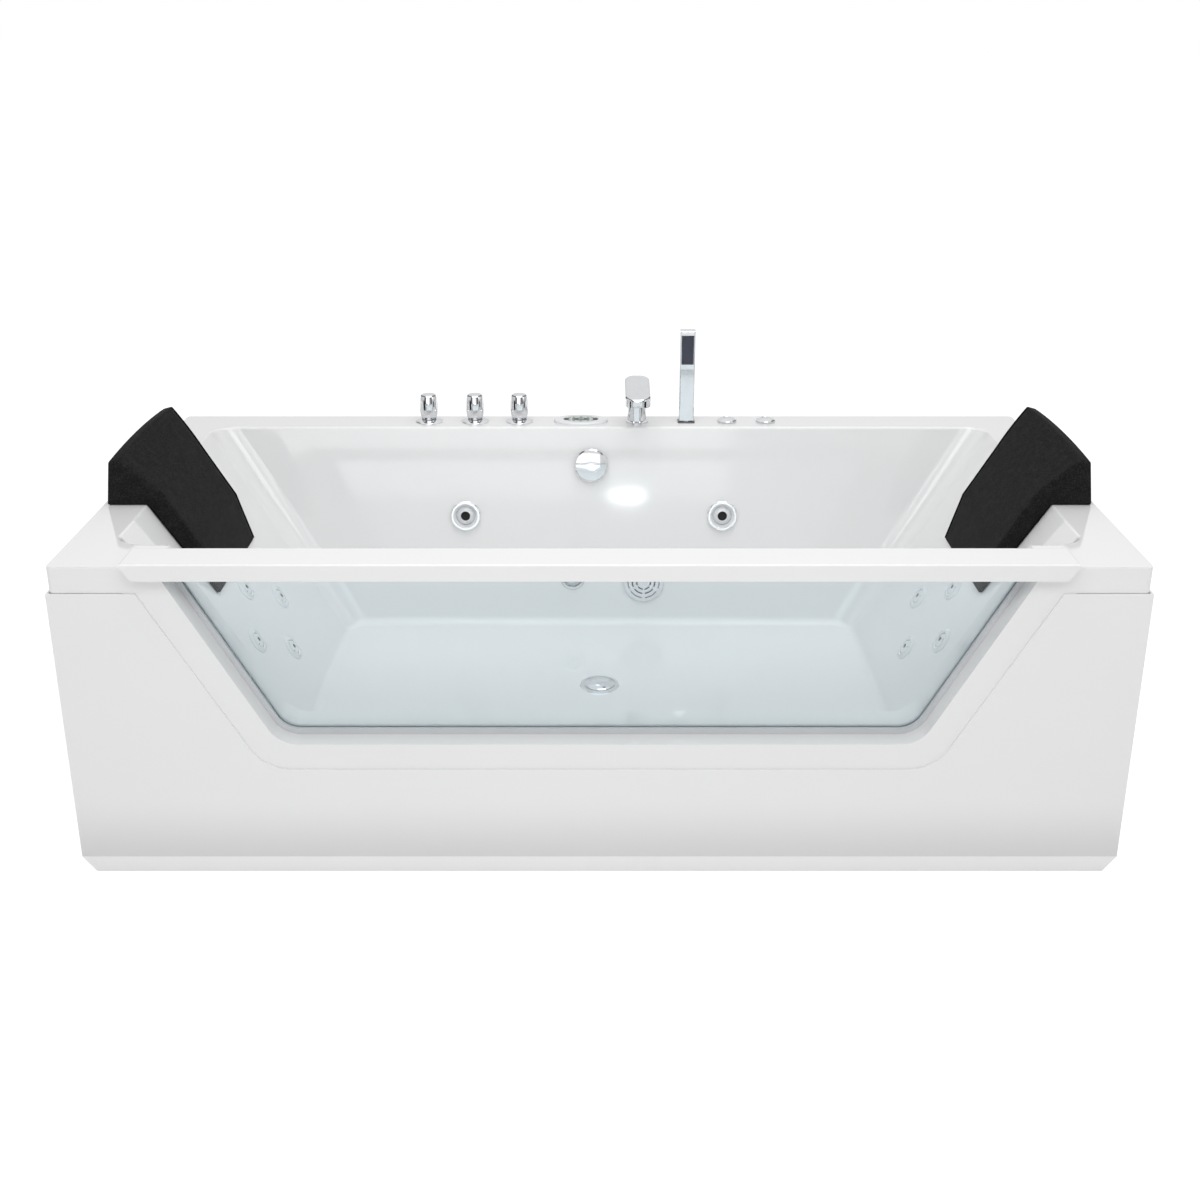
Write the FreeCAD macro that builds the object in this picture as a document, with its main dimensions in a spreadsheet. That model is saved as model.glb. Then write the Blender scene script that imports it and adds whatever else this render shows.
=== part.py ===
import FreeCAD, Part
import math
import os
import Sketcher

# Jetted bathtub with a glazed front. The origin is on the floor, under the middle of the tub's outline.
# +X runs along the tub to the right, +Y to the wall behind it and +Z up.

Vector = FreeCAD.Vector
Rotation = FreeCAD.Rotation
Placement = FreeCAD.Placement

document = FreeCAD.newDocument("JettedBathtub")

# Driving dimensions in millimetres. Every other size is worked out from these.
DIMENSIONS = {
    # Outline of the tub
    "overall_width": 1800,
    "overall_depth": 918,
    "deck_height": 579,
    "rail_overhang": 22,
    "lip_depth": 45,
    "sheet_wall": 5,
    "apron_wall": 4,
    "deck_edge_radius": 3,
    "fit_gap": 0.3,
    # Basin
    "end_deck": 78,
    "back_deck": 84,
    "front_deck": 105,
    "floor_height": 160,
    "floor_half_length": 543,
    "floor_back_inset": 79,
    "floor_front_inset": 27,
    "rim_corner_radius": 48,
    "floor_edge_radius": 18,
    "rim_edge_radius": 6,
    # Window in the front wall
    "window_half_top": 724,
    "window_half_sill": 542,
    "sill_height": 257,
    "window_corner_radius": 55,
    "lining_wall": 6,
    "glass_setback": 43,
    "glass_wall": 8,
    "seal_side": 6,
    "seal_web": 3,
    "seal_cover": 7,
    # Apron cut-out round the window and the shell's flange behind it
    "cutout_half_top": 755,
    "cutout_half_bottom": 568,
    "cutout_bottom": 210,
    "cutout_corner_radius": 80,
    "flange_overlap": 20,
    "apron_foot": 40,
    "shadow_gap": 0.6,
    "plinth_taper": 16,
    "plinth_wall": 14,
    # Rail over the glass
    "rail_half_length": 773,
    "rail_end_taper": 20,
    "rail_depth": 77,
    "rail_rise": 13,
    "rail_drop": 16,
    "rail_edge_radius": 3,
    "glass_bite": 12,
    # Frame, board and feet
    "board_wall": 12,
    "board_half_length": 500,
    "board_margin": 30,
    "tube_side": 30,
    "tube_wall": 2,
    "rail_spread": 250,
    "inner_cross": 290,
    "outer_cross_inset": 210,
    "end_cross_inset": 40,
    "post_inset": 9,
    "tab_low": 215,
    "tab_high": 430,
    "foot_inner": 280,
    "foot_outer_inset": 140,
    "foot_stud_radius": 6,
    "foot_stud_reach": 20,
    "foot_pad_radius": 28,
    "foot_pad_height": 9,
    "nut_flats": 19,
    "nut_height": 10,
    # Waste and overflow
    "drain_y": -8,
    "drain_flange_radius": 39,
    "drain_flange_height": 3,
    "drain_throat_radius": 24,
    "drain_bore_radius": 21,
    "drain_neck": 32,
    "plug_radius": 30,
    "plug_stem_radius": 3.5,
    "waste_body_radius": 30,
    "waste_pipe_radius": 20,
    "waste_pipe_bore": 17.5,
    "waste_pipe_height": 46,
    "waste_pipe_step": 1.5,
    "waste_collar": 8,
    "waste_spigot": 45,
    "overflow_x": -18,
    "overflow_drop": 79,
    "overflow_knob_radius": 35,
    "overflow_throat_radius": 22,
    "overflow_pipe_radius": 15,
    "overflow_depth": 30,
    "overflow_pipe_height": 94,
    "overflow_pipe_back": 23,
    # Back wall fittings
    "jet_left_x": -287,
    "jet_right_x": 263,
    "jet_rise": 5,
    "jet_ring_radius": 33,
    "jet_ring_height": 9,
    "jet_ring_lobe": 3.2,
    "jet_ball_radius": 21,
    "jet_ball_depth": 7,
    "jet_outlet_radius": 10,
    "suction_x": 95,
    "suction_rise": 91,
    "suction_radius": 43,
    "lamp_x": -58,
    "lamp_rise": 100,
    "lamp_radius": 27,
    # End wall jets
    "end_jet_y": -18,
    "end_jet_rise": 149,
    "end_jet_spread_y": 106,
    "end_jet_spread_up": 75,
    "end_jet_radius": 26,
    "end_jet_barrel_radius": 18,
    "end_rotor_radius": 15,
    # Pipework
    "water_offset": 60,
    "air_offset": 32,
    "water_pipe_radius": 14,
    "air_pipe_radius": 8,
    "water_main_y": 384,
    "water_main_gap": 21,
    "air_main_y": 360,
    "air_drop_shift": 45,
    "pump_gap": 8,
    "pump_rise": 87,
    "pump_volute_radius": 72,
    "pump_motor_radius": 58,
    "suction_pipe_radius": 24,
    "suction_pipe_y": 395,
    # Deck fittings
    "fittings_y": 418,
    "knob_hot_x": -366,
    "knob_divert_x": -267,
    "knob_cold_x": -172,
    "knob_radius": 20,
    "knob_height": 56,
    "tap_flange_radius": 29,
    "tap_flange_height": 6,
    "spindle_radius": 6,
    "valve_radius": 17,
    "valve_length": 70,
    "inlet_radius": 10.45,
    "panel_x": -40,
    "panel_half_width": 58,
    "panel_half_depth": 36,
    "panel_height": 6,
    "spout_x": 80,
    "spout_body_radius": 20,
    "spout_half_width": 26.5,
    "spout_reach": 112,
    "spout_top": 98,
    "shower_x": 186,
    "shower_half_width": 16,
    "shower_height": 200,
    "air_left_x": 274,
    "air_right_x": 357,
    "air_knob_radius": 20.5,
    "air_knob_height": 9,
    "spout_head_height": 21,
    "spout_edge": 6,
    "valve_neck_radius": 12,
    "inlet_length": 16,
    "air_valve_radius": 15,
    "panel_box_half_width": 40,
    "panel_box_half_depth": 20,
    "button_spread": 31,
    "button_radius": 5.5,
    "button_travel": 1,
    "holder_sleeve_radius": 13,
    "holder_depth": 40,
    "shower_depth": 20,
    "shower_plate_height": 62,
    "soft_edge": 3,
    # Barrels of the wall fittings
    "jet_barrel_radius": 27,
    "jet_depth": 62,
    "suction_barrel_radius": 36,
    "lamp_barrel_radius": 20,
    "end_jet_depth": 80,
    # Pump and control box
    "pump_front": 45,
    "pump_length": 190,
    "pump_back": 300,
    "pump_foot_half": 80,
    "box_inset": 115,
    "box_half_length": 95,
    "box_depth": 150,
    "box_height": 60,
    # Headrests
    "headrest_front": -133,
    "headrest_back": 160,
    "headrest_deck_reach": 71,
    "headrest_top_reach": 61,
    "headrest_crest_reach": 43,
    "headrest_rise": 86,
    "headrest_shoulder": 81,
    "headrest_nape_reach": 33,
    "headrest_nape_rise": 21,
    "headrest_neck_reach": 90,
    "headrest_neck_drop": 75.5,
    "headrest_jet_gap": 15.5,
    "headrest_tip_wall": 7,
    "headrest_crown_radius": 700,
    "headrest_crown": 7,
    "headrest_back_lift": 19,
    "headrest_back_taper": 22,
}

# Counts and shares that have no size
GRILLE_SPOKES = 6
SPOKE_SHARE = 0.12
MOTOR_FINS = 16
HEADREST_SECTIONS = 5
DISPLAY_SHARE = 0.66
HEXAGON_CORNER_SHARE = 0.57735


class Size:
    """A length or angle: its value, and the formula that ties it to the sheet."""

    def __init__(self, value, formula):
        self.value = float(value)
        self.formula = formula

    def __add__(self, other):
        other = as_size(other)
        return Size(self.value + other.value, f"({self.formula} + {other.formula})")

    def __radd__(self, other):
        return as_size(other) + self

    def __sub__(self, other):
        other = as_size(other)
        return Size(self.value - other.value, f"({self.formula} - {other.formula})")

    def __rsub__(self, other):
        return as_size(other) - self

    def __mul__(self, other):
        other = as_size(other)
        return Size(self.value * other.value, f"({self.formula} * {other.formula})")

    def __rmul__(self, other):
        return as_size(other) * self

    def __truediv__(self, other):
        other = as_size(other)
        return Size(self.value / other.value, f"({self.formula} / {other.formula})")

    def __neg__(self):
        return Size(-self.value, f"(0 - {self.formula})")


def as_size(amount):
    """A plain number as a Size."""
    return amount if isinstance(amount, Size) else Size(amount, str(amount))


def arctangent(slope):
    """The angle, in degrees, whose tangent is the slope."""
    return Size(math.degrees(math.atan(slope.value)), f"atan({slope.formula})")


def square_root(amount):
    """The square root of a plain amount."""
    return Size(math.sqrt(amount.value), f"sqrt({amount.formula})")


class Sheet:
    """The spreadsheet: each dimension becomes an attribute that is a Size."""

    def __init__(self, dimensions):
        sheet = document.addObject("Spreadsheet::Sheet", "Sizes")
        for row, (name, number) in enumerate(dimensions.items(), 1):
            sheet.set(f"A{row}", name)
            sheet.set(f"B{row}", str(number))
            sheet.setAlias(f"B{row}", name)
            setattr(self, name, Size(number, f"Sizes.{name}"))
        document.recompute()


size = Sheet(DIMENSIONS)

# Sizes that follow from the sheet
ZERO = Size(0, "0")
half_width = size.overall_width / 2
shell_half = half_width - size.apron_wall
back_y = size.overall_depth / 2
lip_y = size.rail_overhang - size.overall_depth / 2
lip_foot = size.deck_height - size.lip_depth
rim_half = shell_half - size.end_deck
rim_front = lip_y + size.front_deck
rim_back = back_y - size.back_deck
floor_front = rim_front + size.floor_front_inset
floor_back = rim_back - size.floor_back_inset
floor_under = size.floor_height - size.sheet_wall
basin_depth = size.deck_height - size.floor_height
end_slope = (rim_half - size.floor_half_length) / basin_depth
back_slope = size.floor_back_inset / basin_depth
front_slope = size.floor_front_inset / basin_depth
RIGHT_ANGLE = Size(90, "90 deg")
end_stretch = square_root(end_slope * end_slope + 1)
back_stretch = square_root(back_slope * back_slope + 1)
end_tilt = RIGHT_ANGLE - arctangent(end_slope)
back_tilt = RIGHT_ANGLE - arctangent(back_slope)
window_slope = (size.window_half_top - size.window_half_sill) / (size.deck_height - size.sill_height)
cutout_slope = (size.cutout_half_top - size.cutout_half_bottom) / (lip_foot - size.cutout_bottom)
glass_front = lip_y + size.glass_setback
glass_back = glass_front + size.glass_wall
post_inset = size.sheet_wall + size.post_inset + size.tube_side / 2
board_under = floor_under - size.board_wall
frame_under = board_under - size.tube_side
end_cross = half_width - size.end_cross_inset
outer_cross = half_width - size.outer_cross_inset
foot_outer = half_width - size.foot_outer_inset
overflow_height = size.deck_height - size.overflow_drop
suction_height = size.floor_height + size.suction_rise
lamp_height = size.floor_height + size.lamp_rise
end_jet_height = size.floor_height + size.end_jet_rise
end_jet_up = size.end_jet_spread_up / end_stretch
pump_height = board_under + size.pump_rise
suction_chamber = size.suction_pipe_radius + size.sheet_wall * 1.4
water_main_height = pump_height + suction_chamber + size.water_pipe_radius + size.water_main_gap
valve_foot = size.deck_height - size.sheet_wall * 3 - size.valve_length - size.inlet_length
jet_height = (valve_foot + water_main_height) / 2 + size.jet_rise
headrest_tip = end_jet_height + end_jet_up + size.end_jet_radius / end_stretch + size.headrest_jet_gap


# ---------------------------------------------------------------- modelling helpers


def bind(feature, name, amount):
    """Tie a feature's property to the sheet."""
    feature.setExpression(name, as_size(amount).formula)


def add_body(name):
    """A new body whose label is the sub-part's name."""
    body = document.addObject("PartDesign::Body", name)
    body.Label = name
    return body


def place(feature, x, y, z, axis=None, angle=None):
    """Put a sub-part at x, y, z, turned by angle about axis."""
    if axis is not None:
        feature.Placement = Placement(Vector(0, 0, 0), Rotation(axis, as_size(angle).value))
        bind(feature, "Placement.Rotation.Angle", angle)
    bind(feature, "Placement.Base.x", x)
    bind(feature, "Placement.Base.y", y)
    bind(feature, "Placement.Base.z", z)


def add_sketch(body, role, name, level=None):
    """A sketch on one of the body's origin planes, level away along the plane's normal."""
    sketch = body.newObject("Sketcher::SketchObject", f"{body.Name}_{name}")
    plane = [feature for feature in body.Origin.OriginFeatures if feature.Role == role][0]
    sketch.AttachmentSupport = [(plane, "")]
    sketch.MapMode = "FlatFace"
    if level is not None:
        bind(sketch, "AttachmentOffset.Base.z", level)
    return sketch


def constrain(sketch, kind, geometry, point, amount):
    """A DistanceX, DistanceY or Radius constraint tied to the sheet."""
    if kind == "Radius":
        index = sketch.addConstraint(Sketcher.Constraint(kind, geometry, amount.value))
    else:
        index = sketch.addConstraint(Sketcher.Constraint(kind, geometry, point, amount.value))
    sketch.setExpression(f"Constraints[{index}]", amount.formula)


class Bow:
    """Placed between two corners, it bends the side between them to an arc of this radius."""

    def __init__(self, radius, clockwise=False):
        self.radius = as_size(radius)
        self.clockwise = clockwise


def arc_geometry(centre, radius, start, finish, clockwise):
    """An arc from start to finish, and which of its ends (1 or 2) is the start and the finish."""
    first, last = (finish, start) if clockwise else (start, finish)
    angles = [math.atan2(end.y - centre.y, end.x - centre.x) for end in (first, last)]
    round_shape = Part.Circle(centre, Vector(0, 0, 1), radius)
    ends = (2, 1) if clockwise else (1, 2)
    return Part.ArcOfCircle(round_shape, angles[0], angles[1]), ends


def outline(sketch, items):
    """A closed outline through corners (x, y), or (x, y, radius) for a round one, with Bows between."""
    corners = []
    bows = {}
    for item in items:
        if isinstance(item, Bow):
            bows[len(corners) - 1] = item
        else:
            corners.append([as_size(amount) for amount in item])
    points = [Vector(corner[0].value, corner[1].value, 0) for corner in corners]
    count = len(corners)
    leave = list(points)
    arrive = list(points)
    rounds = {}
    for i, corner in enumerate(corners):
        if len(corner) == 2:
            continue
        behind = (points[i - 1] - points[i]).normalize()
        ahead = (points[(i + 1) % count] - points[i]).normalize()
        radius = corner[2].value
        half_angle = behind.getAngle(ahead) / 2
        arrive[i] = points[i] + behind * (radius / math.tan(half_angle))
        leave[i] = points[i] + ahead * (radius / math.tan(half_angle))
        centre = points[i] + (behind + ahead).normalize() * (radius / math.sin(half_angle))
        clockwise = ahead.cross(behind).z < 0
        rounds[i] = arc_geometry(centre, radius, arrive[i], leave[i], clockwise)
    sides = []
    for i in range(count):
        start, finish = leave[i], arrive[(i + 1) % count]
        if i not in bows:
            sides.append((sketch.addGeometry(Part.LineSegment(start, finish)), (1, 2)))
            continue
        radius = bows[i].radius
        chord = finish - start
        left = Vector(-chord.y, chord.x, 0).normalize()
        reach = math.sqrt(radius.value**2 - (chord.Length / 2) ** 2)
        centre = (start + finish) / 2 + left * (-reach if bows[i].clockwise else reach)
        arc, ends = arc_geometry(centre, radius.value, start, finish, bows[i].clockwise)
        sides.append((sketch.addGeometry(arc), ends))
        constrain(sketch, "Radius", sides[-1][0], None, radius)
    for i, corner in enumerate(corners):
        before, before_ends = sides[i - 1]
        after, after_ends = sides[i]
        if i not in rounds:
            joint = Sketcher.Constraint("Coincident", before, before_ends[1], after, after_ends[0])
            sketch.addConstraint(joint)
            constrain(sketch, "DistanceX", after, after_ends[0], corner[0])
            constrain(sketch, "DistanceY", after, after_ends[0], corner[1])
            continue
        arc, ends = rounds[i]
        bend = sketch.addGeometry(arc)
        sketch.addConstraint(Sketcher.Constraint("Tangent", before, before_ends[1], bend, ends[0]))
        sketch.addConstraint(Sketcher.Constraint("Tangent", bend, ends[1], after, after_ends[0]))
        constrain(sketch, "Radius", bend, None, corner[2])
        mark = sketch.addGeometry(Part.Point(points[i]), True)
        sketch.addConstraint(Sketcher.Constraint("PointOnObject", mark, 1, before))
        sketch.addConstraint(Sketcher.Constraint("PointOnObject", mark, 1, after))
        constrain(sketch, "DistanceX", mark, 1, corner[0])
        constrain(sketch, "DistanceY", mark, 1, corner[1])


def circle(sketch, x, y, radius):
    """A circle with its centre at x, y."""
    x, y, radius = as_size(x), as_size(y), as_size(radius)
    shape = Part.Circle(Vector(x.value, y.value, 0), Vector(0, 0, 1), radius.value)
    geometry = sketch.addGeometry(shape)
    constrain(sketch, "DistanceX", geometry, 3, x)
    constrain(sketch, "DistanceY", geometry, 3, y)
    constrain(sketch, "Radius", geometry, None, radius)


def ellipse(sketch, half_width, half_depth):
    """An ellipse round the sketch's origin, wider than it is deep."""
    wide, deep = as_size(half_width), as_size(half_depth)
    shape = Part.Ellipse(Vector(wide.value, 0, 0), Vector(0, deep.value, 0), Vector(0, 0, 0))
    geometry = sketch.addGeometry(shape)
    sketch.exposeInternalGeometry(geometry)
    sketch.addConstraint(Sketcher.Constraint("Coincident", geometry, 3, -1, 1))
    constrain(sketch, "DistanceX", geometry + 1, 1, -wide)
    sketch.addConstraint(Sketcher.Constraint("PointOnObject", geometry + 1, 1, -1))
    constrain(sketch, "DistanceY", geometry + 2, 1, -deep)


def rectangle(x_low, x_high, y_low, y_high, *radius):
    """Corners of a rectangle, all with the same radius where one is given."""
    return [
        (x_low, y_low, *radius),
        (x_high, y_low, *radius),
        (x_high, y_high, *radius),
        (x_low, y_high, *radius),
    ]


def finish_feature(feature):
    """Recompute, and stop at once if the feature failed."""
    document.recompute()
    if "Invalid" in feature.State or "Error" in feature.State:
        raise RuntimeError(f"{feature.Name} failed: {feature.getStatusString()}")
    return feature


def pad(body, sketch, length, midplane=False, reverse=False):
    """Material from the sketch's face, length thick."""
    feature = body.newObject("PartDesign::Pad", f"{sketch.Name}_pad")
    feature.Profile = sketch
    feature.Midplane = midplane
    feature.Reversed = reverse
    bind(feature, "Length", length)
    return finish_feature(feature)


def pocket(body, sketch, length, midplane=False, reverse=False):
    """A cut from the sketch's face, length deep, which has to take material away."""
    volume = body.Shape.Volume
    feature = body.newObject("PartDesign::Pocket", f"{sketch.Name}_pocket")
    feature.Profile = sketch
    feature.Midplane = midplane
    feature.Reversed = reverse
    bind(feature, "Length", length)
    finish_feature(feature)
    if body.Shape.Volume > volume - 1:
        raise RuntimeError(f"{feature.Name} cuts nothing")
    return feature


def revolve(body, corners, name="profile"):
    """A solid of revolution about the body's Z axis: corners are (radius, height)."""
    sketch = add_sketch(body, "XZ_Plane", name)
    outline(sketch, corners)
    feature = body.newObject("PartDesign::Revolution", f"{sketch.Name}_turned")
    feature.Profile = sketch
    feature.ReferenceAxis = (sketch, ["V_Axis"])
    feature.Angle = 360
    return finish_feature(feature)


def loft(body, sections, ruled=False):
    """A solid through several sections."""
    feature = body.newObject("PartDesign::AdditiveLoft", f"{body.Name}_loft")
    feature.Profile = sections[0]
    feature.Sections = sections[1:]
    feature.Ruled = ruled
    return finish_feature(feature)


def repeat(body, feature, count):
    """Repeat a feature round the body's Z axis."""
    axis = [item for item in body.Origin.OriginFeatures if item.Role == "Z_Axis"][0]
    pattern = body.newObject("PartDesign::PolarPattern", f"{feature.Name}_pattern")
    pattern.Originals = [feature]
    pattern.Axis = (axis, [""])
    pattern.Angle = 360
    pattern.Occurrences = count
    body.Tip = pattern
    return finish_feature(pattern)


def fillet(body, radius, wanted):
    """Round the edges of the body's last feature that the wanted test picks."""
    base = body.Tip
    names = []
    for number, edge in enumerate(base.Shape.Edges, 1):
        if wanted(edge):
            names.append(f"Edge{number}")
    feature = body.newObject("PartDesign::Fillet", f"{body.Name}_fillet_{len(body.Group)}")
    feature.Base = (base, names)
    bind(feature, "Radius", radius)
    return finish_feature(feature)


def add_box(name, x, y, z):
    """A Part box from its low and high values along each axis."""
    box = document.addObject("Part::Box", name)
    for prop, axis, (low, high) in (("Length", "x", x), ("Width", "y", y), ("Height", "z", z)):
        low, high = as_size(low), as_size(high)
        bind(box, prop, high - low)
        bind(box, f"Placement.Base.{axis}", low)
    return box


def add_cylinder(name, radius, x, y, z_low, z_high):
    """An upright Part cylinder."""
    cylinder = document.addObject("Part::Cylinder", name)
    bind(cylinder, "Radius", radius)
    bind(cylinder, "Height", as_size(z_high) - z_low)
    place(cylinder, x, y, z_low)
    return cylinder


def combine(kind, name, shapes):
    """A Part::MultiFuse or Part::Compound of several shapes."""
    result = document.addObject(kind, name)
    result.Label = name
    if kind == "Part::Compound":
        result.Links = shapes
    else:
        result.Shapes = shapes
    return finish_feature(result)


def subtract(name, base, tool):
    """base without tool."""
    result = document.addObject("Part::Cut", name)
    result.Label = name
    result.Base = base
    result.Tool = tool
    return finish_feature(result)


def copies(name, source, places):
    """One node of separate solids: a linked copy of the source at each place."""
    links = []
    for number, where in enumerate(places, 1):
        link = document.addObject("App::Link", f"{name}_{number}")
        link.LinkedObject = source
        place(link, *where)
        links.append(link)
    return combine("Part::Compound", name, links)


def mirror(name, source):
    """The source's mirror image in the tub's middle plane."""
    result = document.addObject("Part::Mirroring", name)
    result.Label = name
    result.Source = source
    result.Normal = Vector(1, 0, 0)
    result.Base = Vector(0, 0, 0)
    return finish_feature(result)


def route(points, bend):
    """A wire of straight runs joined by tangent arcs of one bend radius."""
    points = [Vector(*[as_size(amount).value for amount in point]) for point in points]
    bend = as_size(bend).value
    edges = []
    here = points[0]
    for before, corner, after in zip(points, points[1:], points[2:]):
        back = (before - corner).normalize()
        ahead = (after - corner).normalize()
        half_angle = back.getAngle(ahead) / 2
        tangent = bend / math.tan(half_angle)
        middle_reach = bend / math.sin(half_angle) - bend
        start = corner + back * tangent
        finish = corner + ahead * tangent
        middle = corner + (back + ahead).normalize() * middle_reach
        edges.append(Part.LineSegment(here, start).toShape())
        edges.append(Part.Arc(start, middle, finish).toShape())
        here = finish
    edges.append(Part.LineSegment(here, points[-1]).toShape())
    return Part.Wire(edges)


def chamber(depth, radius, spot):
    """The space behind a wall for a barrel of this depth and radius, with the fitting gap round it."""
    x, y, z, axis, angle = spot
    gap = size.fit_gap
    deep = as_size(depth + gap).value
    space = Part.makeCylinder(as_size(radius + gap).value, deep)
    space.translate(Vector(0, 0, -deep))
    origin = Vector(as_size(x).value, as_size(y).value, as_size(z).value)
    space.Placement = Placement(origin, Rotation(axis, angle.value)) * space.Placement
    return space


def tube(points, bend, radius, bore=None):
    """A round pipe along a route, hollow where a bore radius is given."""
    path = route(points, bend)
    start = path.Edges[0].Vertexes[0].Point
    direction = path.Edges[0].tangentAt(path.Edges[0].FirstParameter)

    def swept(reach):
        ring = Part.Wire(Part.Circle(start, direction, as_size(reach).value).toShape())
        return path.makePipeShell([ring], True, False)

    outside = swept(radius)
    return outside if bore is None else outside.cut(swept(bore))


def add_shape(name, shape):
    """A node whose shape is worked out from the sheet's values."""
    feature = document.addObject("Part::Feature", name)
    feature.Label = name
    feature.Shape = shape
    return feature


def window_outline(offset):
    """The window's outline, offset outward: half its width at the deck and the sill, sill and radius."""
    offset = as_size(offset)
    foot_x = size.window_half_sill + offset - window_slope * offset
    foot_z = size.sill_height - offset
    top_x = size.window_half_top + offset
    radius = size.window_corner_radius + offset
    return top_x, foot_x, foot_z, radius


def window_corners(offset, top):
    """Corners of the window's outline, offset outward, up to a height."""
    top_x, foot_x, foot_z, radius = window_outline(offset)
    edge_x = top_x - window_slope * (size.deck_height - top)
    return [
        (-edge_x, top),
        (-foot_x, foot_z, radius),
        (foot_x, foot_z, radius),
        (edge_x, top),
    ]


def cutout_corners(offset, top):
    """Corners of the apron's cut-out, offset outward."""
    offset = as_size(offset)
    foot_x = size.cutout_half_bottom + offset - cutout_slope * offset
    top_x = size.cutout_half_top + offset
    radius = size.cutout_corner_radius + offset
    foot_z = size.cutout_bottom - offset
    return [(-top_x, top), (-foot_x, foot_z, radius), (foot_x, foot_z, radius), (top_x, top)]


def end_wall_x(height):
    """Distance from the middle to the end wall's inner face at a height."""
    return size.floor_half_length + end_slope * (as_size(height) - size.floor_height)


def back_wall_y(height):
    """Y of the back wall's inner face at a height."""
    return floor_back + back_slope * (as_size(height) - size.floor_height)


def on_back_wall(x, height):
    """Place and turn of a fitting whose Z axis stands out of the back wall."""
    return x, back_wall_y(height), height, Vector(1, 0, 0), back_tilt


def end_jet_spots():
    """The four end jets of one end: (y, height) in a diamond."""
    return [
        (size.end_jet_y, end_jet_height + end_jet_up),
        (size.end_jet_y + size.end_jet_spread_y, end_jet_height),
        (size.end_jet_y, end_jet_height - end_jet_up),
        (size.end_jet_y - size.end_jet_spread_y, end_jet_height),
    ]


def on_end_wall(side, y, height):
    """Place and turn of a fitting whose Z axis stands out of an end wall; side is -1 or 1."""
    return side * end_wall_x(height), y, height, Vector(0, -side, 0), end_tilt


def pump_middle():
    """Distance from the middle to the pump, clear of the water pipe behind the end wall."""
    return water_x() + size.water_pipe_radius + size.pump_volute_radius + size.pump_gap


def behind_end_wall(side, y, height, offset):
    """A point behind an end wall's inner face, offset along the wall's normal."""
    x = side * (end_wall_x(height) + as_size(offset) / end_stretch)
    return x, y, height - end_slope * offset / end_stretch


def tilted_sketch(body, name, x, y, z, axis, angle):
    """A sketch that lies on a sloping wall of the body."""
    sketch = add_sketch(body, "XY_Plane", name)
    sketch.AttachmentOffset = Placement(Vector(0, 0, 0), Rotation(axis, angle.value))
    bind(sketch, "AttachmentOffset.Rotation.Angle", angle)
    for letter, amount in (("x", x), ("y", y), ("z", z)):
        bind(sketch, f"AttachmentOffset.Base.{letter}", amount)
    return sketch


# ---------------------------------------------------------------- shell, window and skirt


def basin_core(name, margin, foot):
    """The basin's space as a solid down to foot, with a margin outside the walls' inner faces."""
    core = add_body(name)
    top = size.deck_height
    beyond = size.lip_depth
    half_top = rim_half + margin
    half_foot = half_top - end_slope * (top - foot)
    front = rim_front - margin
    back = rim_back + margin
    long_side = add_sketch(core, "XZ_Plane", "long_side", -front)
    outline(long_side, [(-half_foot, foot), (half_foot, foot), (half_top, top), (-half_top, top)])
    pad(core, long_side, back - front, reverse=True)
    slopes = add_sketch(core, "YZ_Plane", "slopes")
    drop = top - foot + beyond
    outline(
        slopes,
        [
            (front - front_slope * beyond, top + beyond),
            (front - beyond, top + beyond),
            (front - beyond, foot - beyond),
            (front + front_slope * drop, foot - beyond),
        ],
    )
    outline(
        slopes,
        [
            (back + back_slope * beyond, top + beyond),
            (back - back_slope * drop, foot - beyond),
            (back + beyond, foot - beyond),
            (back + beyond, top + beyond),
        ],
    )
    pocket(core, slopes, half_top * 2, midplane=True)
    height = (top - foot).value
    fillet(core, size.rim_corner_radius + margin, lambda edge: edge.BoundBox.ZLength > height * 0.9)
    fillet(core, size.floor_edge_radius + margin, lambda edge: edge.BoundBox.ZMax < foot.value + 0.01)
    return core


def join_core(body, core, kind):
    """Fuse a core with the body, or cut it out."""
    feature = body.newObject("PartDesign::Boolean", f"{core.Name}_joined")
    feature.Type = kind
    feature.setObjects([core])
    return finish_feature(feature)


def make_tub_shell():
    """One moulded sheet: deck with its lip, basin, window lining and the flange round the window."""
    wall = size.sheet_wall
    outer_core = basin_core("basin_outside", wall, floor_under)
    inner_core = basin_core("basin_inside", ZERO, size.floor_height)
    body = add_body("tub_shell")
    deck = add_sketch(body, "XY_Plane", "deck", lip_foot)
    outline(deck, rectangle(-shell_half, shell_half, lip_y, back_y, size.deck_edge_radius + wall))
    pad(body, deck, size.lip_depth)
    under = add_sketch(body, "XY_Plane", "under", lip_foot)
    outline(under, rectangle(wall - shell_half, shell_half - wall, lip_y + wall, back_y - wall))
    pocket(body, under, size.lip_depth - wall, reverse=True)
    join_core(body, outer_core, "Fuse")
    flange = add_sketch(body, "XZ_Plane", "flange", -lip_y)
    outline(flange, cutout_corners(size.flange_overlap, lip_foot))
    pad(body, flange, wall, reverse=True)
    lining = add_sketch(body, "XZ_Plane", "lining", -lip_y)
    outline(lining, window_corners(size.lining_wall, size.deck_height))
    pad(body, lining, floor_front - lip_y, reverse=True)
    join_core(body, inner_core, "Cut")
    window = add_sketch(body, "XZ_Plane", "window", -lip_y)
    outline(window, window_corners(ZERO, size.deck_height))
    pocket(body, window, size.front_deck * 2)
    fillet(body, size.rim_edge_radius, on_basin_rim)
    cut_shell_holes(body)
    return body


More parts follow.
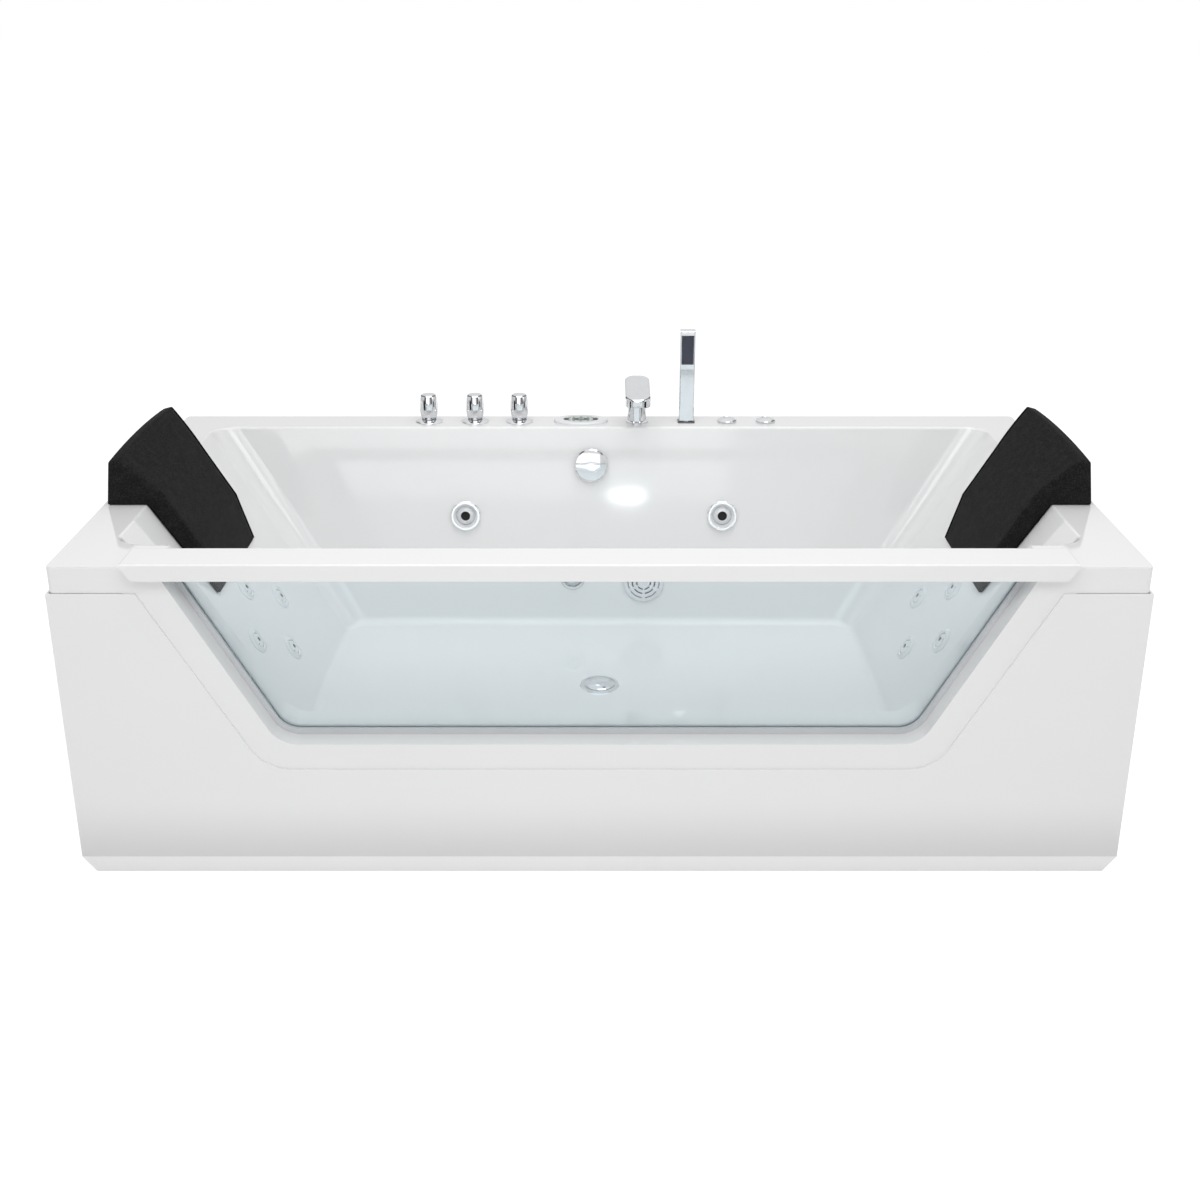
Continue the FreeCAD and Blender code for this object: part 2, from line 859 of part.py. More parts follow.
def on_basin_rim(edge):
    """True for the edges where the basin's end and back walls meet the deck."""
    box = edge.BoundBox
    level = size.deck_height.value
    flat = abs(box.ZMin - level) < 0.01 and abs(box.ZMax - level) < 0.01
    beyond_window = box.XMax < -size.window_half_top.value - 1 or box.XMin > size.window_half_top.value + 1
    at_back = abs(box.YMax - rim_back.value) < 0.01
    inside = box.XMax < rim_half.value + 0.01 and box.XMin > -rim_half.value - 0.01
    return flat and inside and box.YMin > rim_front.value - 0.01 and (beyond_window or at_back)


def cut_shell_holes(body):
    """Holes for the waste, the deck fittings, the jets, the suction, the lamp and the overflow."""
    reach = size.sheet_wall * 3
    gap = size.fit_gap
    waste = add_sketch(body, "XY_Plane", "waste_hole", size.floor_height)
    circle(waste, 0, size.drain_y, size.drain_throat_radius + gap)
    pocket(body, waste, reach)
    deck = add_sketch(body, "XY_Plane", "deck_holes", size.deck_height)
    for x in (size.knob_hot_x, size.knob_divert_x, size.knob_cold_x, size.spout_x):
        circle(deck, x, size.fittings_y, size.valve_neck_radius + gap)
    circle(deck, size.shower_x, size.fittings_y, size.holder_sleeve_radius + gap)
    for x in (size.air_left_x, size.air_right_x):
        circle(deck, x, size.fittings_y, size.air_valve_radius + gap)
    half = size.panel_box_half_width + gap
    depth = size.panel_box_half_depth + gap
    across = (size.panel_x - half, size.panel_x + half)
    outline(deck, rectangle(*across, size.fittings_y - depth, size.fittings_y + depth))
    pocket(body, deck, reach)
    back = tilted_sketch(body, "back_holes", *on_back_wall(ZERO, jet_height))
    for x in (size.jet_left_x, size.jet_right_x):
        circle(back, x, 0, size.jet_barrel_radius + gap)
    for x, height, radius in (
        (size.overflow_x, overflow_height, size.overflow_throat_radius),
        (size.suction_x, suction_height, size.suction_barrel_radius),
        (size.lamp_x, lamp_height, size.lamp_barrel_radius),
    ):
        circle(back, x, (height - jet_height) * back_stretch, radius + gap)
    pocket(body, back, reach * 2, midplane=True)
    for side, name in ((-1, "left_holes"), (1, "right_holes")):
        spot = on_end_wall(side, size.end_jet_y, end_jet_height)
        holes = tilted_sketch(body, name, *spot)
        for along, across in ((1, 0), (-1, 0), (0, 1), (0, -1)):
            x = size.end_jet_spread_up * along
            y = size.end_jet_spread_y * across
            circle(holes, x, y, size.end_jet_barrel_radius + gap)
        pocket(body, holes, reach * 2, midplane=True)


def seal_width():
    """Thickness of the seal between the window's lining and the glass."""
    return size.fit_gap + size.seal_web


def make_window_seal():
    """A channel round three edges of the glass."""
    body = add_body("window_seal")
    top = rail_under() - size.fit_gap
    front = glass_front - size.seal_side
    back = glass_back + size.seal_side
    band = add_sketch(body, "XZ_Plane", "band", -front)
    outline(band, window_corners(-size.fit_gap, top))
    pad(body, band, back - front, reverse=True)
    opening = add_sketch(body, "XZ_Plane", "opening", -front)
    outline(opening, window_corners(-(seal_width() + size.seal_cover), top))
    pocket(body, opening, back - front)
    channel = add_sketch(body, "XZ_Plane", "channel", -glass_front)
    outline(channel, window_corners(-seal_width(), top))
    pocket(body, channel, size.glass_wall)
    return body


def rail_under():
    """Height of the rail's underside."""
    return size.deck_height - size.rail_drop


def make_window_glass():
    """The pane, held by the seal and by the rail's groove."""
    body = add_body("window_glass")
    gap = size.fit_gap
    top = rail_under() + size.glass_bite
    pane = add_sketch(body, "XZ_Plane", "pane", -glass_front - gap)
    outline(pane, window_corners(-(seal_width() + gap), top))
    pad(body, pane, size.glass_wall - gap * 2, reverse=True)
    return body


def make_front_rail():
    """The rail that bridges the window, hooked over the deck's front edge at both ends."""
    body = add_body("front_rail")
    front = lip_y - size.rail_overhang
    top = size.deck_height + size.rail_rise
    foot_half = size.rail_half_length - size.rail_end_taper
    end_face = add_sketch(body, "XZ_Plane", "length", -front)
    outline(
        end_face,
        [
            (-foot_half, rail_under()),
            (foot_half, rail_under()),
            (size.rail_half_length, top),
            (-size.rail_half_length, top),
        ],
    )
    pad(body, end_face, size.rail_depth, reverse=True)
    fillet(body, size.rail_edge_radius, lambda edge: abs(edge.BoundBox.ZMin - top.value) < 0.01)
    seat = add_sketch(body, "XZ_Plane", "seats", -lip_y)
    beyond = size.rail_half_length + size.rail_end_taper
    inner_foot = size.window_half_top - window_slope * (size.rail_drop * 2) - size.fit_gap
    inner_top = size.window_half_top - size.fit_gap
    foot = size.deck_height - size.rail_drop * 2
    outline(
        seat,
        [
            (-beyond, foot),
            (-inner_foot, foot),
            (-inner_top, size.deck_height),
            (-beyond, size.deck_height),
        ],
    )
    outline(
        seat,
        [
            (inner_foot, foot),
            (beyond, foot),
            (beyond, size.deck_height),
            (inner_top, size.deck_height),
        ],
    )
    pocket(body, seat, size.rail_depth)
    groove = add_sketch(body, "XY_Plane", "groove", rail_under())
    reach = size.window_half_top - window_slope * (size.rail_drop - size.glass_bite) - seal_width()
    outline(groove, rectangle(-reach, reach, glass_front, glass_back))
    pocket(body, groove, size.glass_bite + size.fit_gap, reverse=True)
    return body


def make_front_apron():
    """The front skirt panel with the cut-out round the window and a turned-in foot."""
    body = add_body("front_apron")
    top = lip_foot - size.shadow_gap
    cut_top = size.cutout_half_top - cutout_slope * size.shadow_gap
    corners = cutout_corners(ZERO, top)
    sheet = add_sketch(body, "XZ_Plane", "sheet", -lip_y)
    outline(
        sheet,
        [
            (-half_width, top),
            (-half_width, size.apron_foot),
            (half_width, size.apron_foot),
            (half_width, top),
            (cut_top, top),
            corners[2],
            corners[1],
            (-cut_top, top),
        ],
    )
    pad(body, sheet, size.apron_wall)
    fold = add_sketch(body, "XY_Plane", "fold", size.apron_foot)
    outline(fold, rectangle(-shell_half, shell_half, lip_y, lip_y + size.plinth_wall))
    pad(body, fold, size.apron_wall)
    return body


def make_left_apron():
    """The left skirt panel with its turned-in foot."""
    body = add_body("left_apron")
    sheet = add_sketch(body, "YZ_Plane", "sheet", -half_width)
    outline(sheet, rectangle(lip_y, back_y, size.apron_foot, lip_foot - size.shadow_gap))
    pad(body, sheet, size.apron_wall)
    fold = add_sketch(body, "XY_Plane", "fold", size.apron_foot)
    inner = size.plinth_wall - shell_half
    outline(fold, rectangle(-shell_half, inner, lip_y + size.plinth_wall + size.fit_gap, back_y))
    pad(body, fold, size.apron_wall)
    return body


def make_plinth():
    """The kick board under the skirt, tapering to the floor and open at the back."""
    body = add_body("plinth")
    taper = size.plinth_taper
    front = lip_y - size.apron_wall
    top = add_sketch(body, "XY_Plane", "top", size.apron_foot)
    outline(top, rectangle(-half_width, half_width, front, back_y))
    foot = add_sketch(body, "XY_Plane", "foot")
    outline(foot, rectangle(taper - half_width, half_width - taper, front + taper, back_y))
    loft(body, [top, foot], ruled=True)
    inside = half_width - taper - size.plinth_wall
    hollow = add_sketch(body, "XY_Plane", "hollow")
    hollow_front = front + taper + size.plinth_wall
    outline(hollow, rectangle(-inside, inside, hollow_front, back_y))
    pocket(body, hollow, size.apron_foot, reverse=True)
    return body


# ---------------------------------------------------------------- board, frame and feet


def make_base_board():
    """The board bonded under the basin's floor, with a hole round the waste."""
    body = add_body("base_board")
    margin = size.board_margin
    half = size.board_half_length
    board = add_sketch(body, "XY_Plane", "board", board_under)
    outline(board, rectangle(-half, half, floor_front + margin, floor_back - margin, margin))
    pad(body, board, size.board_wall)
    hole = add_sketch(body, "XY_Plane", "waste_hole", floor_under)
    circle(hole, 0, size.drain_y, size.waste_body_radius + size.fit_gap)
    pocket(body, hole, size.board_wall)
    return body


def post_places():
    """The four posts' middles."""
    for side in (-1, 1):
        for y in (lip_y + post_inset, back_y - post_inset):
            yield side * end_cross, y


def foot_places():
    """The eight feet, under the two long rails."""
    for side in (-1, 1):
        for x in (size.foot_inner, foot_outer):
            for y in (-size.rail_spread, size.rail_spread):
                yield side * x, y


def frame_tubes(name, inset):
    """Boxes for the frame's members; inset is zero outside and the tube's wall for the hollows."""
    half = size.tube_side / 2 - inset
    level = (frame_under + inset, board_under - inset)
    front_y, back = lip_y + post_inset, back_y - post_inset
    beyond = end_cross + size.tube_side / 2 + inset / 2
    boxes = []
    for number, y in enumerate((-size.rail_spread, size.rail_spread)):
        boxes.append(add_box(f"{name}_rail_{number}", (-beyond, beyond), (y - half, y + half), level))
    for number, x in enumerate((size.inner_cross, outer_cross, end_cross)):
        ends = (front_y - half, back + half) if number == 2 else (-size.rail_spread, size.rail_spread)
        for side in (-1, 1):
            middle = side * x
            label = f"{name}_cross_{number}_{side + 1}"
            boxes.append(add_box(label, (middle - half, middle + half), ends, level))
    for number, (x, y) in enumerate(post_places()):
        height = (frame_under + inset, size.deck_height - size.sheet_wall)
        boxes.append(add_box(f"{name}_post_{number}", (x - half, x + half), (y - half, y + half), height))
    return boxes


def make_steel_frame():
    """The welded frame of square tube that carries the basin's board and the deck."""
    outside = frame_tubes("outside", ZERO)
    tab = size.apron_wall
    tab_half = size.tube_side / 3
    for number, (x, y) in enumerate(post_places()):
        side = 1 if number > 1 else -1
        reach = sorted((x + side * (size.tube_side / 2), side * shell_half), key=value_of)
        for level_number, level in enumerate((size.tab_low, size.tab_high)):
            label = f"tab_{number}_{level_number}"
            outside.append(add_box(label, reach, (y - tab_half, y + tab_half), (level, level + tab)))
    inside = frame_tubes("inside", size.tube_wall)
    for number, (x, y) in enumerate(foot_places()):
        radius = size.foot_stud_radius + size.fit_gap
        low, high = frame_under - size.tube_wall, frame_under + size.tube_wall * 2
        inside.append(add_cylinder(f"stud_hole_{number}", radius, x, y, low, high))
    solid = combine("Part::MultiFuse", "frame_outside", outside)
    hollow = combine("Part::MultiFuse", "frame_inside", inside)
    return subtract("steel_frame", solid, hollow)


def value_of(amount):
    """The value of a Size, for sorting."""
    return amount.value


def make_feet():
    """Levelling feet, each a pad on a stud that screws up into a rail, and their lock nuts."""
    foot = add_body("levelling_foot")
    pad_radius, stud = size.foot_pad_radius, size.foot_stud_radius
    revolve(
        foot,
        [
            (0, 0),
            (pad_radius, 0),
            (pad_radius, size.foot_pad_height * 0.6),
            (stud * 2, size.foot_pad_height),
            (stud * 1.6, size.foot_pad_height * 1.6),
            (stud, size.foot_pad_height * 1.6),
            (stud, frame_under + size.foot_stud_reach),
            (0, frame_under + size.foot_stud_reach),
        ],
    )
    nut = add_body("lock_nut")
    flats = size.nut_flats
    blank = add_sketch(nut, "XY_Plane", "blank")
    corner_reach = flats * HEXAGON_CORNER_SHARE
    outline(
        blank,
        [
            (corner_reach, 0),
            (corner_reach / 2, flats / 2),
            (-corner_reach / 2, flats / 2),
            (-corner_reach, 0),
            (-corner_reach / 2, -flats / 2),
            (corner_reach / 2, -flats / 2),
        ],
    )
    pad(nut, blank, size.nut_height)
    hole = add_sketch(nut, "XY_Plane", "thread")
    circle(hole, 0, 0, stud + size.fit_gap)
    pocket(nut, hole, size.nut_height, reverse=True)
    spots = list(foot_places())
    copies("levelling_feet", foot, [(x, y, ZERO) for x, y in spots])
    copies("foot_lock_nuts", nut, [(x, y, frame_under - size.nut_height) for x, y in spots])


# ---------------------------------------------------------------- waste and overflow


def make_waste():
    """The waste flange with its spider, the plug that lifts in it, and the trap below."""
    flange = add_body("drain_flange")
    bore = size.drain_bore_radius
    throat = size.drain_throat_radius
    lip = size.drain_flange_height
    seat = size.plug_radius + size.fit_gap * 5
    revolve(
        flange,
        [
            (size.drain_flange_radius, 0),
            (size.drain_flange_radius - lip / 2, lip),
            (seat, lip),
            (seat, lip * 0.4),
            (bore, lip * 0.4),
            (bore, -size.drain_neck),
            (throat, -size.drain_neck),
            (throat, 0),
        ],
    )
    stem = size.plug_stem_radius
    hub = add_sketch(flange, "XY_Plane", "hub", -size.drain_neck)
    circle(hub, 0, 0, stem * 2)
    circle(hub, 0, 0, stem + size.fit_gap)
    pad(flange, hub, lip * 3)
    arm = add_sketch(flange, "XY_Plane", "arm", -size.drain_neck)
    outline(arm, rectangle(stem * 1.8, bore + lip / 3, -lip / 2, lip / 2))
    repeat(flange, pad(flange, arm, lip * 3), 3)
    place(flange, ZERO, size.drain_y, size.floor_height)

    plug = add_body("drain_plug")
    rim = size.plug_radius
    low = lip * 0.4 + size.fit_gap
    revolve(
        plug,
        [
            (0, -size.drain_neck - lip),
            (stem, -size.drain_neck - lip),
            (stem, -lip * 0.6),
            (bore - lip / 2, -lip * 0.6),
            (bore - lip / 2, low),
            (rim, low),
            (rim, lip * 1.1),
            (rim - lip, lip * 1.6),
            Bow(rim * 4),
            (stem, lip * 2.8),
            (0, lip * 2.8),
        ],
    )
    place(plug, ZERO, size.drain_y, size.floor_height)

    trap = add_body("waste_trap")
    outer = size.waste_body_radius
    pipe = size.waste_pipe_radius
    low = size.waste_pipe_height - pipe - size.sheet_wall
    chamber_top = size.floor_height - size.drain_neck - size.fit_gap
    revolve(
        trap,
        [
            (0, low),
            (outer, low),
            (outer, floor_under - size.fit_gap),
            (throat + size.fit_gap, floor_under - size.fit_gap),
            (throat + size.fit_gap, chamber_top),
            (bore, chamber_top),
            (bore, low + size.sheet_wall),
            (0, low + size.sheet_wall),
        ],
    )
    outlet_end = back_y - size.drain_y - size.sheet_wall
    spigot_start = outlet_end - size.waste_spigot
    collar_start = spigot_start - size.waste_collar
    for name, start, finish, radius in (
        ("outlet", outer - size.sheet_wall, collar_start, pipe + size.waste_pipe_step),
        ("collar", collar_start, spigot_start, pipe + size.sheet_wall),
        ("spigot", spigot_start, outlet_end, pipe),
    ):
        length = add_sketch(trap, "XZ_Plane", name, -start)
        circle(length, 0, size.waste_pipe_height, radius)
        pad(trap, length, finish - start, reverse=True)
    boss = add_sketch(trap, "XZ_Plane", "overflow_boss", -(outer - size.sheet_wall))
    circle(boss, 0, size.overflow_pipe_height, size.overflow_pipe_radius + size.sheet_wall)
    pad(trap, boss, size.sheet_wall * 5, reverse=True)
    waterway = add_sketch(trap, "XZ_Plane", "waterway")
    circle(waterway, 0, size.waste_pipe_height, size.waste_pipe_bore)
    pocket(trap, waterway, outlet_end)
    socket = add_sketch(trap, "XZ_Plane", "socket")
    circle(socket, 0, size.overflow_pipe_height, size.overflow_pipe_radius + size.fit_gap)
    pocket(trap, socket, outer + size.sheet_wall * 5)
    place(trap, ZERO, size.drain_y, ZERO)


def make_overflow():
    """The overflow's body through the back wall, its turning knob and the pipe down to the trap."""
    spot = on_back_wall(size.overflow_x, overflow_height)
    wall = size.sheet_wall
    throat = size.overflow_throat_radius
    spindle = size.spindle_radius
    hub = spindle + size.lining_wall
    body = add_body("overflow_body")
    depth = size.overflow_depth
    revolve(
        body,
        [
            (0, -depth),
            (throat + wall * 2, -depth),
            (throat + wall * 2, -wall - size.fit_gap),
            (throat, -wall - size.fit_gap),
            (throat, size.fit_gap),
            (throat + wall * 1.4, size.fit_gap),
            (throat + wall * 1.2, wall / 2),
            (throat - wall / 2, wall / 2),
            (throat - wall / 2, wall - depth),
            (hub, wall - depth),
            (hub, wall / 2),
            (spindle + size.fit_gap, wall / 2),
            (spindle + size.fit_gap, wall - depth),
            (0, wall - depth),
        ],
    )
    place(body, *spot)

    knob = add_body("overflow_knob")
    radius = size.overflow_knob_radius
    stand_off = wall * 1.6
    revolve(
        knob,
        [
            (0, wall * 2 - depth),
            (spindle, wall * 2 - depth),
            (spindle, stand_off),
            (radius - 2, stand_off),
            (radius, stand_off + 2),
            (radius, stand_off + 5),
            (radius - 3, stand_off + 8),
            Bow(radius * 5),
            (spindle, stand_off + 10),
            (0, stand_off + 10),
        ],
    )
    place(knob, *spot)

    outlet_y = back_wall_y(overflow_height) + depth / 2
    drop_y = back_y - size.overflow_pipe_back
    bend = size.overflow_pipe_radius * 1.6
    level = overflow_height - throat - wall * 2
    rise = drop_y - outlet_y
    points = [
        (size.overflow_x, outlet_y, level + wall * 2),
        (size.overflow_x, outlet_y, level - wall * 7),
        (0, drop_y, level - wall * 7 - rise),
        (0, drop_y, size.overflow_pipe_height),
        (0, size.drain_y + size.waste_body_radius + wall, size.overflow_pipe_height),
    ]
    pipe = tube(points, bend, size.overflow_pipe_radius)
    add_shape("overflow_pipe", pipe.cut(chamber(depth + wall, throat + wall * 2, spot)))


# ---------------------------------------------------------------- jets, suction and lamp


def make_back_jets():
    """Two back jets: a body through the wall, a lobed ring that turns and a ball nozzle that tilts."""
    barrel = size.jet_barrel_radius
    wall = size.sheet_wall
    gap = size.fit_gap
    ball = size.jet_ball_radius
    centre = -size.jet_ball_depth
    face = wall + gap
    socket = ball + gap * 2
    flange = size.jet_ring_radius - size.jet_ring_lobe - gap
    jet = add_body("back_jet_body")
    revolve(
        jet,
        [
            (0, -size.jet_depth),
            (barrel, -size.jet_depth),
            (barrel, -wall * 3),
            (barrel + wall * 1.4, -wall * 3),
            (barrel + wall * 1.4, -wall - gap),
            (barrel, -wall - gap),
            (barrel, 0),
            (flange, 0),
            (flange, wall * 0.3),
            (barrel, wall * 0.3),
            (barrel, face),
            (barrel - wall * 0.3, face),
            (socket * 0.94, centre + socket * 0.341),
            Bow(socket, clockwise=True),
            (socket * 0.8, centre - socket * 0.6),
            (size.jet_outlet_radius + wall, centre - socket * 0.6 - wall),
            (size.jet_outlet_radius + wall, wall - size.jet_depth),
            (0, wall - size.jet_depth),
        ],
    )
    spots = [on_back_wall(x, jet_height) for x in (size.jet_left_x, size.jet_right_x)]
    copies("back_jet_bodies", jet, spots)

    for side, spot in zip(("left", "right"), spots):
        ring = add_body(f"jet_ring_{side}")
        radius = size.jet_ring_radius
        height = size.jet_ring_height
        low = wall * 0.3 + gap
        revolve(
            ring,
            [
                (barrel + gap, low),
                (radius, low),
                (radius, height * 0.55),
                Bow(height * 0.6),
                (radius - height * 0.35, height),
                (barrel - 1, height),
                (barrel - 1, face + gap),
                (barrel + gap, face + gap),
            ],
        )
        scallop = add_sketch(ring, "XY_Plane", "scallop")
        scallop_radius = radius * 0.62
        circle(scallop, radius - size.jet_ring_lobe + scallop_radius, 0, scallop_radius)
        repeat(ring, pocket(ring, scallop, height * 2, reverse=True), 6)
        place(ring, *spot)

        nozzle = add_body(f"jet_nozzle_{side}")
        outlet = size.jet_outlet_radius
        lip = outlet + 3
        revolve(
            nozzle,
            [
                (outlet, centre - ball * 0.6),
                (ball * 0.8, centre - ball * 0.6),
                Bow(ball),
                (ball * 0.96, centre + ball * 0.28),
                Bow(ball),
                (lip, centre + ball * 0.62),
                (lip, height),
                (outlet + 0.8, height + 1),
                (outlet, height),
            ],
        )
        place(nozzle, *spot)


def make_end_jets():
    """Eight small end-wall jets: bodies with a flange, and rotors with an off-centre outlet."""
    barrel = size.end_jet_barrel_radius
    radius = size.end_jet_radius
    rotor_radius = size.end_rotor_radius
    wall = size.sheet_wall
    gap = size.fit_gap
    pin = rotor_radius * 0.25
    recess = wall + 2
    jet = add_body("end_jet_body")
    revolve(
        jet,
        [
            (0, -size.end_jet_depth),
            (barrel, -size.end_jet_depth),
            (barrel, -wall * 2.6),
            (barrel + wall, -wall * 2.6),
            (barrel + wall, -wall - gap),
            (barrel, -wall - gap),
            (barrel, 0),
            (radius, 0),
            (radius, 1),
            (rotor_radius + wall * 0.7, wall * 0.8),
            (rotor_radius + gap, wall * 0.6),
            (rotor_radius + gap, -recess),
            (pin + gap, -recess),
            (pin + gap, -recess * 2.5),
            (0, -recess * 2.5),
        ],
    )
    spots = []
    for side in (-1, 1):
        spots += [on_end_wall(side, *spot) for spot in end_jet_spots()]
    copies("end_jet_bodies", jet, spots)
    for number, spot in enumerate(spots, 1):
        rotor = add_body(f"end_rotor_{number}")
        revolve(
            rotor,
            [
                (0, gap - recess * 2.5),
                (pin, gap - recess * 2.5),
                (pin, gap - recess),
                (rotor_radius, gap - recess),
                (rotor_radius, wall * 0.3),
                (rotor_radius * 0.9, wall * 0.6),
                (0, wall * 0.6),
            ],
        )
        outlets = add_sketch(rotor, "XY_Plane", "outlets", wall)
        circle(outlets, 0, rotor_radius * 0.3, rotor_radius * 0.31)
        circle(outlets, rotor_radius * 0.35, -rotor_radius * 0.6, rotor_radius * 0.14)
        pocket(rotor, outlets, wall * 1.8)
        place(rotor, *spot)


def to_back_wall(y, z, height):
    """A point's place in the frame of a fitting on the back wall at a height: (up the wall, out of it)."""
    along = y - back_wall_y(height)
    rise = z - height
    up = (along * back_slope + rise) / back_stretch
    out = (rise * back_slope - along) / back_stretch
    return up, out


def make_suction():
    """The suction fitting: a body with a socket for the pipe, and a slotted grille over its mouth."""
    spot = on_back_wall(size.suction_x, suction_height)
    wall = size.sheet_wall
    gap = size.fit_gap
    barrel = size.suction_barrel_radius
    chamber = suction_chamber
    up, out = to_back_wall(size.suction_pipe_y, pump_height, suction_height)
    depth = size.suction_pipe_radius * 1.3 - out
    body = add_body("suction_body")
    revolve(
        body,
        [
            (0, -depth),
            (chamber, -depth),
            (chamber, -wall * 4),
            (barrel + wall, -wall * 4),
            (barrel + wall, -wall - gap),
            (barrel, -wall - gap),
            (barrel, gap),
            (barrel + wall, gap),
            (barrel + wall, wall / 2),
            (barrel - wall, wall / 2),
            (barrel - wall, -wall * 3),
            (0, -wall * 3),
        ],
    )
    socket = add_sketch(body, "YZ_Plane", "socket", chamber * 0.6)
    circle(socket, up, out, size.suction_pipe_radius + wall)
    pad(body, socket, chamber)
    mouth = add_sketch(body, "YZ_Plane", "mouth", chamber * 1.6)
    circle(mouth, up, out, size.suction_pipe_radius + gap)
    pocket(body, mouth, chamber * 0.5)
    place(body, *spot)

    pipe_end = size.suction_x + chamber * 1.1 + gap
    level = pump_height
    turn = size.suction_pipe_radius * 1.5
    points = [
        (pipe_end, size.suction_pipe_y, level),
        (pump_middle(), size.suction_pipe_y, level),
        (pump_middle(), size.pump_back + wall, level),
    ]
    add_shape("suction_pipe", tube(points, turn, size.suction_pipe_radius))

    grille = add_body("suction_grille")
    rim = size.suction_radius
    dish = wall * 1.6
    revolve(
        grille,
        [
            (0, wall / 2 + gap),
            (rim, wall / 2 + gap),
            (rim, wall),
            (rim * 0.75, wall + dish * 0.6),
            (rim * 0.4, wall + dish * 0.9),
            (wall, dish + wall),
            (0, dish + wall),
        ],
    )
    slot = wall * 0.55
    for number, middle in enumerate((rim * 0.34, rim * 0.56, rim * 0.78)):
        ring = add_sketch(grille, "XY_Plane", f"slot_{number}", wall / 2)
        slot_sector(ring, middle - slot / 2, middle + slot / 2)
        repeat(grille, pocket(grille, ring, rim, reverse=True), GRILLE_SPOKES)
    place(grille, *spot)


def slot_sector(sketch, inner, outer):
    """A curved slot that leaves a spoke at each end."""
    half = math.pi / GRILLE_SPOKES - SPOKE_SHARE
    cosine, sine = math.cos(half), math.sin(half)
    outline(
        sketch,
        [
            (inner * cosine, -inner * sine),
            (outer * cosine, -outer * sine),
            Bow(outer),
            (outer * cosine, outer * sine),
            (inner * cosine, inner * sine),
            Bow(inner, clockwise=True),
        ],
    )


def make_lamp():
    """The underwater lamp: a bezel with its housing through the wall, and a domed lens."""
    spot = on_back_wall(size.lamp_x, lamp_height)
    wall = size.sheet_wall
    gap = size.fit_gap
    barrel = size.lamp_barrel_radius
    bezel = add_body("lamp_bezel")
    revolve(
        bezel,
        [
            (0, -wall * 8),
            (barrel, -wall * 8),
            (barrel, -wall * 3),
            (barrel + wall, -wall * 3),
            (barrel + wall, -wall - gap),
            (barrel, -wall - gap),
            (barrel, gap),
            (size.lamp_radius, gap),
            (size.lamp_radius, wall * 0.3),
            Bow(wall * 1.5),
            (barrel, wall),
            (barrel - 1, 0),
            (0, 0),
        ],
    )
    place(bezel, *spot)
    lens = add_body("lamp_lens")
    reach = barrel - 1 - gap
    crown = [(reach, wall * 0.5), Bow(barrel * 2), (wall / 2, wall * 1.4)]
    revolve(lens, [(0, gap), (reach, gap), *crown, (0, wall * 1.4)])
    place(lens, *spot)


# ---------------------------------------------------------------- deck fittings


def make_taps():
    """Three deck valves, the flanges that cover their holes and the barrel-shaped knobs on top."""
    wall = size.sheet_wall
    gap = size.fit_gap
    neck = size.valve_neck_radius
    spindle = size.spindle_radius
    flange_height = size.tap_flange_height
    valve = add_body("deck_valve")
    foot = -wall * 3 - size.valve_length
    revolve(
        valve,
        [
            (size.inlet_radius * 0.7, foot - size.inlet_length),
            (size.inlet_radius, foot - size.inlet_length),
            (size.inlet_radius, foot),
            (size.valve_radius, foot),
            (size.valve_radius, -wall * 3),
            (neck + wall * 1.6, -wall * 3),
            (neck + wall * 1.6, -wall - gap),
            (neck, -wall - gap),
            (neck, flange_height),
            (spindle, flange_height),
            (spindle, size.knob_height * 0.6),
            (0, size.knob_height * 0.6),
            (0, foot),
            (size.inlet_radius * 0.7, foot),
        ],
    )
    flange = add_body("tap_flange")
    rim = size.tap_flange_radius
    revolve(
        flange,
        [
            (neck + gap, 0),
            (rim, 0),
            (rim, flange_height * 0.25),
            Bow(rim * 1.4),
            (neck * 1.6, flange_height),
            (neck + gap, flange_height),
        ],
    )
    knobs_x = (size.knob_hot_x, size.knob_divert_x, size.knob_cold_x)
    spots = [(x, size.fittings_y, size.deck_height) for x in knobs_x]
    copies("valve_bodies", valve, spots)
    copies("tap_flanges", flange, spots)
    for name, spot in zip(("knob_hot", "knob_divert", "knob_cold"), spots):
        knob = add_body(name)
        radius = size.knob_radius
        low = flange_height + gap
        top = low + size.knob_height - wall / 2
        revolve(
            knob,
            [
                (0, size.knob_height * 0.6 + gap),
                (spindle + gap, size.knob_height * 0.6 + gap),
                (spindle + gap, low),
                (radius * 0.76, low),
                Bow(size.knob_height * 1.9),
                (radius, low + size.knob_height * 0.42),
                Bow(size.knob_height * 1.7),
                (radius * 0.82, top - 2),
                (radius * 0.72, top),
                (radius * 0.6, top),
                (0, top - 2),
            ],
        )
        place(knob, *spot)


